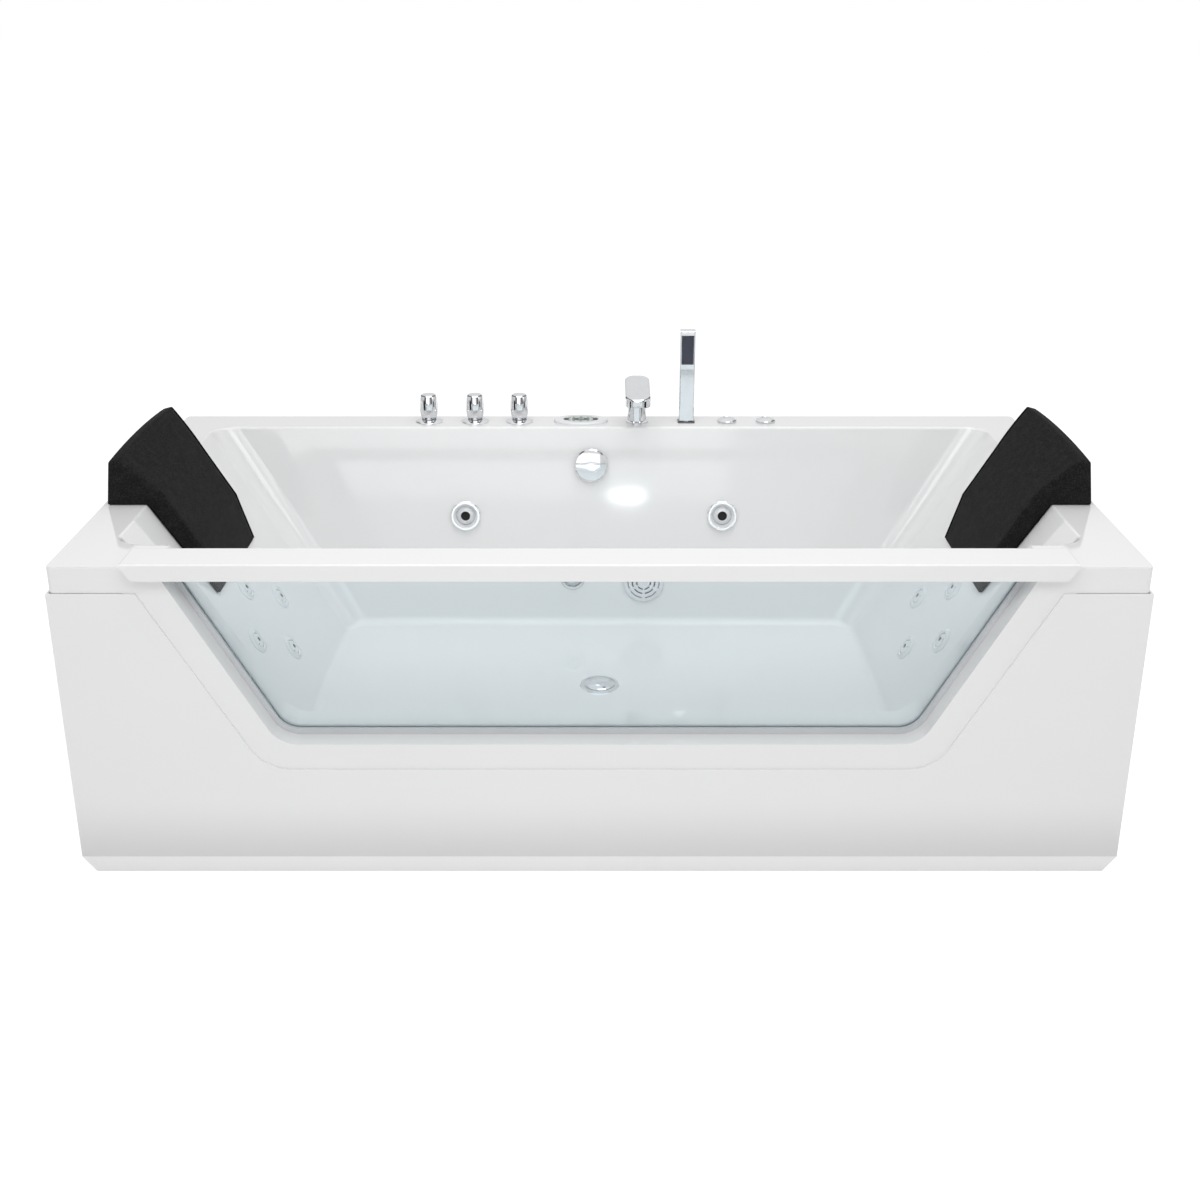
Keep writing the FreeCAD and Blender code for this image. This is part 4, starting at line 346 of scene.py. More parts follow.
@dataclass(frozen=True)
class Acrylic(Finish):
    """Glossy white sheet with a faint ripple, and glass-fibre backing on its hidden side.

    A skirt may be darkened towards its foot as painted shade, for the light that gives out near the floor;
    the darkening fades out between two heights above the front apron's lower edge.
    """

    good_side: GoodSide = GoodSide.ALL
    colour: Colour = (0.845, 0.845, 0.845)
    cast: Colour = (0.815, 0.817, 0.82)
    resin: Colour = (0.60, 0.62, 0.53)
    strand: Colour = (0.78, 0.80, 0.74)
    eye: Point = (0.0, 0.0, 1.0)
    edge: float = 0.004
    end_share: float = 0.94
    turned_in: float = 0.4
    # Colour of the painted shade at a skirt's foot, where less light reaches near the floor; none for a
    # sheet without it.
    painted_foot_shade: Colour | None = None
    foot_shade_rise: tuple[float, float] = (-0.02, 0.12)

    def _skin_mask(self, tree: ShaderTree) -> Value:
        """1 on the glossy side of the sheet.

        Args:
            tree: the material's tree.

        Returns:
            The mask.
        """
        normal = tree.node("ShaderNodeTexCoord").outputs["Normal"]
        low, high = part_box("tub_shell")
        if self.good_side is GoodSide.OUTSIDE:
            turned = tree.node("ShaderNodeSeparateXYZ", None, {0: normal})
            behind_front = (Value(tree, turned.outputs[1]) > 0.5) * (tree.along(1) < low.y / 2)
            inward = Value(tree, turned.outputs[0]) * tree.along(0) < -self.turned_in
            return 1.0 - behind_front.larger(inward * (abs(tree.along(0)) > high.x * self.end_share))
        facing = tree.vector_dot(normal, tree.from_point(self.eye))
        beyond_x = abs(tree.along(0)) > high.x - self.edge
        beyond_y = abs(tree.along(1) - (low.y + high.y) / 2) > (high.y - low.y) / 2 - self.edge
        return (facing < 0.0).larger(beyond_x).larger(beyond_y)

    def _strands(self, tree: ShaderTree) -> Value:
        """Chopped strands: thin bright lines where two bent noises cross their middle."""
        coarse = 1.0 - abs(tree.noise(34.0, 1.0, 3.0) - 0.5) * 14.0
        fine = 1.0 - abs(tree.noise(62.0, 1.0, 2.5, tree.scaled((1.0, 2.2, 1.4))) - 0.5) * 12.0
        return coarse.larger(fine).ease(0.0, 1.0)

    def sockets(self, tree: ShaderTree) -> dict[str, Any]:
        """White skin, darkened towards a skirt's foot as painted shade, with the backing mixed in where the
        sheet has a hidden side.
        """
        skin = tree.mix(tree.noise(2.5), self.colour, self.cast)
        # Painted shade: the skin darkens towards the skirt's foot, standing in for less light near the
        # floor.
        if self.painted_foot_shade:
            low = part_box("front_apron")[0].z
            start, end = (low + rise for rise in self.foot_shade_rise)
            skin = tree.mix(tree.along(2).ease(start, end), self.painted_foot_shade, skin)
        gloss = 0.05 + tree.noise(9.0, 3.0) * 0.05
        ripple = tree.noise(26.0, 1.0) + tree.noise(140.0, 2.0) * 0.12
        if self.good_side is GoodSide.ALL:
            return {
                "Base Color": skin,
                "Roughness": gloss,
                "Normal": tree.bump(ripple, 0.00005),
                "Coat Weight": 0.4,
                "Coat Roughness": 0.04,
            }
        mask = self._skin_mask(tree)
        strands = self._strands(tree)
        backing = tree.mix(strands, self.resin, self.strand)
        hidden = 1.0 - mask
        height = ripple * mask * 0.08 + (strands + tree.noise(300.0)) * hidden
        return {
            "Base Color": tree.mix(mask, backing, skin),
            "Roughness": gloss * mask + hidden * 0.48,
            "Normal": tree.bump(height, 0.0006),
            "Coat Weight": mask * 0.4,
            "Coat Roughness": 0.04,
        }


@dataclass(frozen=True)
class SafetyGlass(Finish):
    """Clear pane with a cool tint and faint water marks."""

    colour: Colour = (0.81, 0.88, 0.905)

    def sockets(self, tree: ShaderTree) -> dict[str, Any]:
        """A clear shader whose gloss varies a little."""
        marks = tree.noise(16.0, 4.0, 0.4).ease(0.58, 0.8)
        return {
            "Base Color": tree.mix(marks * 0.12, self.colour, (0.9, 0.94, 0.95)),
            "Roughness": 0.005 + marks * 0.02,
            "Transmission Weight": 1.0,
            "IOR": 1.45,
        }


@dataclass(frozen=True)
class Metal(Finish):
    """Metal with smudges, fine scratches and an optional cell pattern."""

    colour: Colour = (0.80, 0.81, 0.82)
    shade: Colour = (0.70, 0.71, 0.73)
    roughness: float = 0.05
    smudge: float = 0.06
    cell_scale: float = 0.0
    brushed: Point = (1.0, 1.0, 1.0)
    depth: float = 0.00002

    def sockets(self, tree: ShaderTree) -> dict[str, Any]:
        """Smudged metal; a galvanised piece also has its crystals."""
        smudges = tree.noise(55.0, 4.0, 0.3)
        scratches = tree.noise(420.0, 2.0, 0.0, tree.scaled(self.brushed))
        tone = smudges
        if self.cell_scale:
            tone = tree.cells(self.cell_scale, output="Color") * 0.7 + smudges * 0.3
        return {
            "Base Color": tree.mix(tone, self.colour, self.shade),
            "Roughness": self.roughness + smudges * self.smudge + scratches * (self.smudge / 2),
            "Metallic": 1.0,
            "Normal": tree.bump(scratches, self.depth),
        }


@dataclass(frozen=True)
class Plastic(Finish):
    """Moulded plastic with a fine grain and a slight change of tone."""

    colour: Colour = (0.80, 0.81, 0.82)
    shade: Colour = (0.74, 0.75, 0.77)
    roughness: float = 0.25
    grain: float = 900.0
    depth: float = 0.00003
    coat: float = 0.0

    def sockets(self, tree: ShaderTree) -> dict[str, Any]:
        """Toned plastic with its grain as bump and gloss."""
        tone = tree.noise(14.0, 4.0)
        grain = tree.noise(self.grain, 2.0)
        return {
            "Base Color": tree.mix(tone, self.colour, self.shade),
            "Roughness": self.roughness + (tone - 0.5) * 0.08 + (grain - 0.5) * 0.06,
            "Normal": tree.bump(grain, self.depth),
            "Coat Weight": self.coat,
            "Coat Roughness": 0.05,
        }


@dataclass(frozen=True)
class Foam(Finish):
    """Black integral-skin foam: a fine leathery grain over soft open pores."""

    colour: Colour = (0.0035, 0.0035, 0.004)
    bloom: Colour = (0.020, 0.020, 0.021)

    def sockets(self, tree: ShaderTree) -> dict[str, Any]:
        """Speckled black skin with pores."""
        grain = tree.noise(330.0, 3.0)
        pores = tree.cells(950.0, "SMOOTH_F1").ease(0.1, 0.55)
        mottle = tree.noise(70.0, 3.0)
        return {
            "Base Color": tree.mix((grain * 0.9 + mottle * 0.3).ease(0.45, 0.85), self.colour, self.bloom),
            "Roughness": 0.66 + grain * 0.2,
            "Normal": tree.bump(grain * 0.6 + pores * 0.4, 0.0004),
            "Specular IOR Level": 0.16,
        }


@dataclass(frozen=True)
class Board(Finish):
    """Plywood sealed with resin: long grain and a soft gloss."""

    colour: Colour = (0.42, 0.27, 0.14)
    dark: Colour = (0.27, 0.16, 0.08)

    def sockets(self, tree: ShaderTree) -> dict[str, Any]:
        """Grain that runs along X."""
        grain = tree.noise(40.0, 5.0, 0.6, tree.scaled((0.12, 1.6, 1.6)))
        fibres = tree.noise(420.0, 2.0, 0.0, tree.scaled((0.05, 1.0, 1.0)))
        return {
            "Base Color": tree.mix((grain * 0.75 + fibres * 0.3).ease(0.25, 0.85), self.dark, self.colour),
            "Roughness": 0.38 + fibres * 0.2,
            "Normal": tree.bump(grain * 0.5 + fibres * 0.5, 0.0002),
        }


@dataclass(frozen=True)
class Lens(Finish):
    """Frosted lens over the lamp."""

    colour: Colour = (0.86, 0.90, 0.92)

    def sockets(self, tree: ShaderTree) -> dict[str, Any]:
        """Milky plastic that lets some light through."""
        frost = tree.noise(700.0, 2.0)
        return {
            "Base Color": tree.mix(frost, self.colour, (0.78, 0.83, 0.86)),
            "Roughness": 0.12 + frost * 0.18,
            "Transmission Weight": 0.55,
            "IOR": 1.49,
            "Normal": tree.bump(frost, 0.00004),
        }


class Finishes(Enum):
    """The finishes that the tub has."""

    SHELL = Acrylic("shell_acrylic", "acrylic", GoodSide.INSIDE)
    # The skirt's foot grey is painted shade: it darkens the sheet towards the floor.
    SKIRT = Acrylic("skirt_acrylic", "acrylic", GoodSide.OUTSIDE, painted_foot_shade=grey(0.66))
    KICK = Acrylic("kick_acrylic", "acrylic", colour=grey(0.93), cast=(0.9, 0.9, 0.905))
    RAIL = Acrylic("rail_acrylic", "acrylic")
    GLASS = SafetyGlass("window_glass", "glass")
    SEAL = Plastic("window_seal_rubber", "seal", (0.62, 0.64, 0.66), (0.56, 0.58, 0.60), 0.38, 500.0)
    CHROME = Metal("polished_chrome", "chrome")
    RING = Metal("plated_ring", "ring_chrome", (0.93, 0.93, 0.94), (0.88, 0.88, 0.89), 0.2, 0.06)
    BRASS = Metal(
        "turned_brass", "brass", (0.78, 0.58, 0.27), (0.62, 0.44, 0.19), 0.22, 0.14,
        brushed=(1.0, 1.0, 12.0),
    )
    FRAME = Metal(
        "galvanised_tube", "frame_steel", (0.60, 0.62, 0.64), (0.44, 0.46, 0.48), 0.34, 0.18,
        cell_scale=75.0,
    )
    ZINC = Metal("zinc_plate", "fastener_steel", (0.70, 0.71, 0.70), (0.60, 0.61, 0.58), 0.26, 0.12)
    BOARD = Board("sealed_board", "board")
    WHITE = Plastic(
        "white_fitting", "fitting_white", (0.80, 0.81, 0.82), (0.76, 0.77, 0.79), 0.12, 700.0, 0.00001,
        coat=0.5,
    )
    PIPE = Plastic("pipe_plastic", "pipe", (0.66, 0.67, 0.68), (0.58, 0.59, 0.60), 0.34, 260.0)
    DARK = Plastic(
        "dark_plastic", "dark_plastic", (0.030, 0.030, 0.033), (0.018, 0.018, 0.02), 0.42, 1100.0, 0.00008
    )
    NOZZLES = Plastic(
        "nozzle_rubber", "nozzle_plate", (0.030, 0.034, 0.055), (0.020, 0.022, 0.038), 0.42, 800.0
    )
    NUBS = Plastic("spray_rubber", "nozzle_plate", (0.16, 0.17, 0.24), (0.11, 0.12, 0.18), 0.45, 800.0)
    WELD = Metal("weld_bead", "frame_steel", (0.42, 0.42, 0.43), (0.26, 0.25, 0.25), 0.38, 0.2)
    LENS = Lens("lamp_lens", "lens")
    FILM = Plastic(
        "display_film", "display", (0.50, 0.56, 0.53), (0.44, 0.51, 0.48), 0.10, 300.0, 0.00001, coat=0.8
    )
    SCREEN = Plastic(
        "display_screen", "display", (0.020, 0.026, 0.024), (0.012, 0.016, 0.015), 0.12, 300.0, 0.00001
    )
    DIGITS = Plastic(
        "display_digits", "display", (0.55, 0.72, 0.66), (0.48, 0.66, 0.60), 0.30, 300.0, 0.00001
    )
    # Painted shade: near-black plugs set into the jets' bores stand for the shade inside the holes.
    BORE_SHADE = Plastic("bore_painted_shade", "dark_plastic", grey(0.004), grey(0.002), 0.7, 500.0, 0.00001)
    MOTOR = Plastic(
        "motor_paint", "motor", (0.045, 0.05, 0.055), (0.030, 0.033, 0.038), 0.36, 240.0, 0.00015
    )
    FOAM = Foam("headrest_foam", "foam")


# ---------------------------------------------------------------- shared work on pieces


def stand(name: str, data: bpy.types.ID) -> bpy.types.Object:
    """A new object, linked into the scene."""
    made = bpy.data.objects.new(name, data)
    bpy.context.scene.collection.objects.link(made)
    return made


def closed(name: str, shape: bmesh.types.BMesh) -> bpy.types.Mesh:
    """The mesh of a shape that is done, which is let go."""
    mesh = bpy.data.meshes.new(name)
    shape.to_mesh(mesh)
    shape.free()
    return mesh


class Assembly:
    """What every sub-assembly can do: dress nodes of the frame, and add pieces of its own."""

    def dress(self, finish: Finishes, *nodes: str) -> None:
        """Gives nodes of the frame a finish.

        Args:
            finish: the finish.
            nodes: the nodes' names.
        """
        for name in nodes:
            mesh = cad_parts[name].data
            mesh.materials.clear()
            mesh.materials.append(finish.value.material())
            LOG.info("dressed %s in %s", name, finish.value.name)

    def add(self, name: str, mesh: bpy.types.Mesh, body: str, finish: Finishes) -> bpy.types.Object:
        """Adds a piece that rides on a body.

        Args:
            name: the piece's name.
            mesh: its mesh, already in place.
            body: the body it moves with.
            finish: its finish.

        Returns:
            The piece.
        """
        piece = stand(name, mesh)
        mesh.materials.clear()
        mesh.materials.append(finish.value.material())
        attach(piece, body)
        LOG.info("added %s on %s, %d faces", name, body, len(mesh.polygons))
        return piece


class Pattern(TreeBuilder):
    """One Geometry Nodes tree: sizes go in by name, and a plain mesh comes out."""

    def __init__(self, name: str, sizes: Mapping[str, float | int | Point], finish: Finishes) -> None:
        """Starts a tree.

        Args:
            name: the tree's name.
            sizes: its named inputs and their values.
            finish: the finish that its mesh gets.
        """
        super().__init__(bpy.data.node_groups.new(name, "GeometryNodeTree"))
        kinds = {float: "NodeSocketFloat", int: "NodeSocketInt", tuple: "NodeSocketVector"}
        interface = self.tree.interface
        self.sizes = {}
        for label, value in sizes.items():
            socket = interface.new_socket(label, in_out="INPUT", socket_type=kinds[type(value)])
            self.sizes[socket.identifier] = value
        interface.new_socket("Geometry", in_out="OUTPUT", socket_type="NodeSocketGeometry")
        self.entry = self.node("NodeGroupInput")
        self.finish = finish

    def size(self, label: str) -> Value:
        """One of the named inputs."""
        return Value(self, self.entry.outputs[label])

    def spread(
        self, points: bpy.types.NodeSocket, shape: bpy.types.NodeSocket, **more: Any
    ) -> bpy.types.NodeSocket:
        """Puts a shape on each point.

        Args:
            points: the points.
            shape: the shape.
            more: other sockets, such as Rotation.

        Returns:
            The instances.
        """
        inputs = {"Points": points, "Instance": shape, **more}
        return self.node("GeometryNodeInstanceOnPoints", None, inputs).outputs[0]

    def join(self, *parts: bpy.types.NodeSocket) -> bpy.types.NodeSocket:
        """Joins several geometries."""
        node = self.node("GeometryNodeJoinGeometry")
        for part in parts:
            self.tree.links.new(part, node.inputs[0])
        return node.outputs[0]

    def moved(self, shape: bpy.types.NodeSocket, **more: Any) -> bpy.types.NodeSocket:
        """Moves, turns or scales a geometry."""
        return self.node("GeometryNodeTransform", None, {"Geometry": shape, **more}).outputs[0]

    def vector(self, x: Any = 0.0, y: Any = 0.0, z: Any = 0.0) -> bpy.types.NodeSocket:
        """A vector of three numbers or sockets."""
        return self.node("ShaderNodeCombineXYZ", None, {0: x, 1: y, 2: z}).outputs[0]

    def mesh(self, shape: bpy.types.NodeSocket, place: Matrix) -> bpy.types.Mesh:
        """Ends the tree and runs it.

        Args:
            shape: the geometry to give out.
            place: where the result stands in the frame.

        Returns:
            The plain mesh, in place.
        """
        real = self.node("GeometryNodeRealizeInstances", None, {0: shape}).outputs[0]
        finish = self.finish.value.material()
        coated = self.node("GeometryNodeSetMaterial", None, {"Geometry": real, "Material": finish})
        self.node("NodeGroupOutput", None, {0: coated.outputs[0]})
        carrier = stand(self.tree.name, bpy.data.meshes.new(self.tree.name))
        modifier = carrier.modifiers.new("pattern", "NODES")
        modifier.node_group = self.tree
        for identifier, value in self.sizes.items():
            modifier[identifier] = value
        graph = bpy.context.evaluated_depsgraph_get()
        made = bpy.data.meshes.new_from_object(carrier.evaluated_get(graph))
        bpy.data.objects.remove(carrier)
        made.transform(place)
        return made


def towards(point: Point | Vector, direction: Point | Vector, up: Point = (0.0, 0.0, 1.0)) -> Matrix:
    """A place at a point whose Z axis looks along a direction.

    Args:
        point: the origin of the place.
        direction: where its Z axis points.
        up: a vector that its Y axis leans to.

    Returns:
        The place as a matrix.
    """
    z = Vector(direction).normalized()
    x = Vector(up).cross(z)
    if x.length < 1e-6:
        x = Vector((1.0, 0.0, 0.0))
    x.normalize()
    turn = Matrix((x, z.cross(x), z)).transposed().to_4x4()
    return Matrix.Translation(Vector(point)) @ turn


def smooth(mesh: bpy.types.Mesh, sharp_above: float = 0.6) -> bpy.types.Mesh:
    """Shades a mesh smooth, apart from edges that turn by more than an angle in radians."""
    mesh.shade_smooth()
    mesh.set_sharp_from_angle(angle=sharp_above)
    return mesh


def middle(node: str) -> Vector:
    """The middle of a node's box."""
    low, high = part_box(node)
    return (low + high) / 2


def rods(
    name: str, pieces: Iterable[tuple[Matrix, float, float, float]], sides: int = 40
) -> bpy.types.Mesh:
    """One mesh of closed cylinders.

    Args:
        name: the mesh's name.
        pieces: each cylinder's place, its radius, and its low and high ends along its own Z axis.
        sides: how many sides each has.

    Returns:
        The mesh, in place.
    """
    shape = bmesh.new()
    for place, radius, low, high in pieces:
        bmesh.ops.create_cone(
            shape,
            cap_ends=True,
            segments=sides,
            radius1=radius,
            radius2=radius,
            depth=high - low,
            matrix=place @ Matrix.Translation((0.0, 0.0, (low + high) / 2)),
        )
    return smooth(closed(name, shape))


def bars(name: str, pieces: Iterable[tuple[Matrix, Point]]) -> bpy.types.Mesh:
    """One mesh of boxes, each with its place and its size."""
    shape = bmesh.new()
    for place, size in pieces:
        bmesh.ops.create_cube(shape, size=1.0, matrix=place @ Matrix.Diagonal((*size, 1.0)))
    return closed(name, shape)


# ---------------------------------------------------------------- headrests


@dataclass
class Headrest(Assembly):
    """A foam headrest that hangs over an end rim, as one crowned form made of rings along Y."""

    side: int
    node: str
    gap: float = 0.0003
    deck_reach: float = 0.071
    top_reach: float = 0.061
    crest_reach: float = 0.043
    rise: float = 0.086
    shoulder: float = 0.081
    nape_reach: float = 0.033
    nape_rise: float = 0.021
    neck_reach: float = 0.090
    neck_drop: float = 0.0755
    tip_wall: float = 0.007
    crown_radius: float = 0.7
    crown: float = 0.007
    back_lift: float = 0.019
    back_taper: float = 0.022
    edge_radius: float = 0.0045
    edge_share: float = 0.45
    fold_angle: float = 0.9
    stations: int = 33
    corner_steps: int = 4
    arc_start: int = 5
    arc_steps: int = 10

    def __post_init__(self) -> None:
        """Takes the deck's height, the rim, both faces and the tip from the frame."""
        low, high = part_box(self.node)
        outer = max(abs(low.x), abs(high.x))
        self.rim_half = outer - self.deck_reach
        self.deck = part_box("tub_shell")[1].z
        self.front = low.y
        self.back = high.y
        self.tip_height = low.z
        self.tip_x = min(abs(low.x), abs(high.x)) + self.tip_wall

    def _outline(self, lift: float, taper: float) -> list[Vector]:
        """The section's corners on the left side, from the deck round the tip to the shoulder.

        Args:
            lift: how far the crest stands above its lowest height.
            taper: how far the crest and the shoulder are drawn towards the basin.

        Returns:
            The corners, counter-clockwise as seen from the front.
        """
        rim = -self.rim_half
        nape = Vector((rim + self.nape_reach, self.deck + self.nape_rise))
        crest = Vector((rim - self.crest_reach + taper, self.deck + self.rise + lift))
        corners = [
            Vector((rim - self.deck_reach, self.deck + self.gap)),
            Vector((rim + self.gap, self.deck + self.gap)),
            Vector((-self.tip_x, self.tip_height)),
            Vector((self.tip_wall - self.tip_x, self.tip_height)),
            Vector((rim + self.neck_reach, self.deck - self.neck_drop)),
        ]
        corners.extend(self._crown_arc(nape, crest))
        corners.append(Vector((rim - self.top_reach + taper, self.deck + self.shoulder + lift)))
        return corners

    def _crown_arc(self, start: Vector, end: Vector) -> list[Vector]:
        """Points on the bowed top of the section, both ends among them.

        Args:
            start: the nape.
            end: the crest.

        Returns:
            The points, from the nape to the crest.
        """
        chord = end - start
        half = chord.length / 2
        out = Vector((chord.y, -chord.x)).normalized()
        depth = math.sqrt(self.crown_radius**2 - half**2)
        centre = (start + end) / 2 - out * depth
        spread = math.asin(half / self.crown_radius)
        axis = chord.normalized()
        angles = (spread * (2 * number / self.arc_steps - 1) for number in range(self.arc_steps + 1))
        return [centre + (out * math.cos(a) + axis * math.sin(a)) * self.crown_radius for a in angles]

    def _rounded(self, corners: Sequence[Vector]) -> list[Vector]:
        """Rounds the corners of a closed outline, apart from those of its bowed top.

        Args:
            corners: the outline's corners in order.

        Returns:
            The rounded outline's points.
        """
        points = []
        bowed = range(self.arc_start, self.arc_start + self.arc_steps)
        for number, corner in enumerate(corners):
            before = corners[number - 1] - corner
            after = corners[(number + 1) % len(corners)] - corner
            if number in bowed:
                points.append(corner)
                continue
            turn = math.pi - before.angle(after)
            shorter = min(before.length, after.length)
            reach = min(self.edge_radius * math.tan(turn / 2), shorter * self.edge_share)
            start = corner + before.normalized() * reach
            end = corner + after.normalized() * reach
            for step in range(self.corner_steps + 1):
                share = step / self.corner_steps
                points.append(start * (1 - share) ** 2 + corner * 2 * share * (1 - share) + end * share**2)
        return points

    def _ring(self, y: float, inset: float) -> list[Vector]:
        """One closed ring of the surface.

        Args:
            y: its place along the headrest.
            inset: how far it is drawn in from the outline.

        Returns:
            The ring's points.
        """
        share = (y - self.front) / (self.back - self.front)
        lift = self.back_lift * share + self.crown * (1 - (2 * share - 1) ** 2)
        flat = self._rounded(self._outline(lift, self.back_taper * share))
        count = len(flat)
        ring = []
        for number, point in enumerate(flat):
            run = flat[(number + 1) % count] - flat[number - 1]
            inward = Vector((-run.y, run.x)).normalized()
            moved = point + inward * inset
            ring.append(Vector((moved.x * -self.side, y, moved.y)))
        return ring

    def _rings(self) -> list[list[Vector]]:
        """All rings in the order in which they join.

        The rings of the back edge run inward from the back face, so the surface folds over there.
        """
        radius = self.edge_radius
        angles = (math.pi / 2 * (1 - step / self.corner_steps) for step in range(self.corner_steps + 1))
        edge = [(radius * (1 - math.sin(angle)), radius * (1 - math.cos(angle))) for angle in angles]
        start = self.front + radius
        pitch = (self.back - self.front - 2 * radius) / self.stations
        rings = [self._ring(self.front + depth, inset) for depth, inset in edge]
        rings += [self._ring(start + pitch * number, 0.0) for number in range(1, self.stations)]
        rings += [self._ring(self.back - depth, inset) for depth, inset in edge]
        return rings

    def build(self) -> None:
        """Makes the headrest and lets it stand for the frame's node."""
        shape = bmesh.new()
        rings = [[shape.verts.new(point) for point in ring] for ring in self._rings()]
        count = len(rings[0])
        for near, far in zip(rings, rings[1:]):
            for number in range(count):
                after = (number + 1) % count
                shape.faces.new((near[number], near[after], far[after], far[number]))
        shape.faces.new(list(reversed(rings[0])))
        shape.faces.new(rings[-1])
        bmesh.ops.triangulate(shape, faces=[face for face in shape.faces if len(face.verts) > 4])
        bmesh.ops.recalc_face_normals(shape, faces=shape.faces)
        name = f"{self.node}_foam"
        piece = self.add(name, smooth(closed(name, shape), self.fold_angle), self.node, Finishes.FOAM)
        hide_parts(self.node)


# ---------------------------------------------------------------- details of the fittings


@dataclass
class JetBoreShade(Assembly):
    """Painted shade in the jets' bores: near-black plugs that stand for the shade inside the holes, and
    turn and tilt with the nozzles.

    A rotor's bores are given by their two offsets and their radius, as shares of the rotor's own radius.
    """

    floor_height: float = 0.160
    back_foot: float = 0.296
    back_slope: float = 0.079 / 0.419
    end_foot: float = 0.543
    end_slope: float = 0.275 / 0.419
    back_jets: tuple[tuple[str, float], ...] = (("left", -0.287), ("right", 0.263))
    back_height: float = 0.392
    end_y: float = -0.018
    end_height: float = 0.309
    end_spread: tuple[float, float] = (0.106, 0.075)
    rotor_radius: float = 0.015
    rotor_bore_shades: tuple[Point, ...] = ((0.0, 0.3, 0.305), (0.35, -0.6, 0.136))
    rotor_plug: tuple[float, float] = (-0.0039, 0.0012)
    nozzle_plug: tuple[float, float] = (-0.018, 0.0055)
    nozzle_plug_radius: float = 0.0098

    def _back_place(self, x: float) -> Matrix:
        """The place of a back jet, with Z out of the wall."""
        y = self.back_foot + self.back_slope * (self.back_height - self.floor_height)
        return towards((x, y, self.back_height), (0.0, -1.0, self.back_slope))

    def _rotor_places(self) -> list[Matrix]:
        """The places of the eight rotors, with Z out of the walls, in the order of their numbers."""
        aside, up = self.end_spread
        up /= math.hypot(self.end_slope, 1.0)
        tilt = math.pi / 2 - math.atan(self.end_slope)
        places = []
        for side in (-1, 1):
            for along, rise in ((0.0, up), (aside, 0.0), (0.0, -up), (-aside, 0.0)):
                height = self.end_height + rise
                x = side * (self.end_foot + self.end_slope * (height - self.floor_height))
                turn = Matrix.Rotation(tilt, 4, Vector((0.0, -side, 0.0)))
                places.append(Matrix.Translation((x, self.end_y + along, height)) @ turn)
        return places

    def build(self) -> None:
        """Adds a painted-shade plug in each nozzle and two in each rotor."""
        for side, x in self.back_jets:
            name = f"jet_bore_shade_{side}"
            plug = rods(name, [(self._back_place(x), self.nozzle_plug_radius, *self.nozzle_plug)])
            self.add(name, plug, f"jet_nozzle_{side}", Finishes.BORE_SHADE)
        size = self.rotor_radius
        for number, place in enumerate(self._rotor_places(), 1):
            name = f"rotor_bore_shades_{number}"
            holes = []
            for across, up, radius in self.rotor_bore_shades:
                spot = place @ Matrix.Translation((size * across, size * up, 0.0))
                holes.append((spot, size * radius, *self.rotor_plug))
            self.add(name, rods(name, holes, 24), f"end_rotor_{number}", Finishes.BORE_SHADE)


@dataclass
class PanelScreen(Assembly):
    """The control panel's dark screen with two figures, and the oval marks round it."""

    screen_half: tuple[float, float] = (0.0195, 0.0098)
    figure: tuple[float, float] = (0.0044, 0.0086)
    stroke: float = 0.0009
    stroke_share: float = 0.8
    stroke_thickness: float = 0.0002
    figure_height: float = 0.0004
    figure_pitch: float = 1.6
    figures: str = "38"
    segments: Mapping[str, str] = field(default_factory=lambda: {"3": "abcdg", "8": "abcdefg"})
    screen_ends: tuple[float, float] = (-0.0003, 0.0003)
    mark_ends: tuple[float, float] = (-0.0003, 0.0002)
    mark_radius: float = 0.0017
    mark_stretch: float = 1.7
    marks: tuple[tuple[float, float], ...] = ((0.0, 0.0165), (0.0155, 0.0135), (0.0245, 0.0085))

    def _strokes(self, figure: str, centre: Point) -> list[tuple[Matrix, Point]]:
        """The lit strokes of one seven-segment figure.

        Args:
            figure: the figure.
            centre: its middle.

        Returns:
            Each stroke's place and size.
        """
        wide, tall = self.figure
        spots = {
            "a": (0.0, tall / 2, True),
            "b": (wide / 2, tall / 4, False),
            "c": (wide / 2, -tall / 4, False),
            "d": (0.0, -tall / 2, True),
            "e": (-wide / 2, -tall / 4, False),
            "f": (-wide / 2, tall / 4, False),
            "g": (0.0, 0.0, True),
        }
        strokes = []
        for name in self.segments[figure]:
            x, y, level = spots[name]
            across = wide * self.stroke_share if level else self.stroke
            along = self.stroke if level else tall / 2 * self.stroke_share
            place = Matrix.Translation(Vector(centre) + Vector((x, y, 0.0)))
            strokes.append((place, (across, along, self.stroke_thickness)))
        return strokes

    def build(self) -> None:
        """Adds the screen, its marks and its figures on the film."""
        low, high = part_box("panel_display")
        centre = Vector(((low.x + high.x) / 2, (low.y + high.y) / 2, high.z))
        half, depth = self.screen_half
        oval = Matrix.Translation(centre) @ Matrix.Diagonal((1.0, depth / half, 1.0, 1.0))
        ovals = [(oval, half, *self.screen_ends)]
        stretch = Matrix.Diagonal((self.mark_stretch, 1.0, 1.0, 1.0))
        for across, along in self.marks:
            for x, y in sorted({(across, along), (-across, along), (across, -along), (-across, -along)}):
                spot = Matrix.Translation(centre + Vector((x, y, 0.0))) @ stretch
                ovals.append((spot, self.mark_radius, *self.mark_ends))
        self.add("panel_screen", rods("panel_screen", ovals, 48), "tub", Finishes.SCREEN)
        strokes = []
        for number, figure in enumerate(self.figures):
            x = centre.x + (number - (len(self.figures) - 1) / 2) * self.figure[0] * self.figure_pitch
            strokes.extend(self._strokes(figure, (x, centre.y, centre.z + self.figure_height)))
        self.add("panel_figures", bars("panel_figures", strokes), "tub", Finishes.DIGITS)


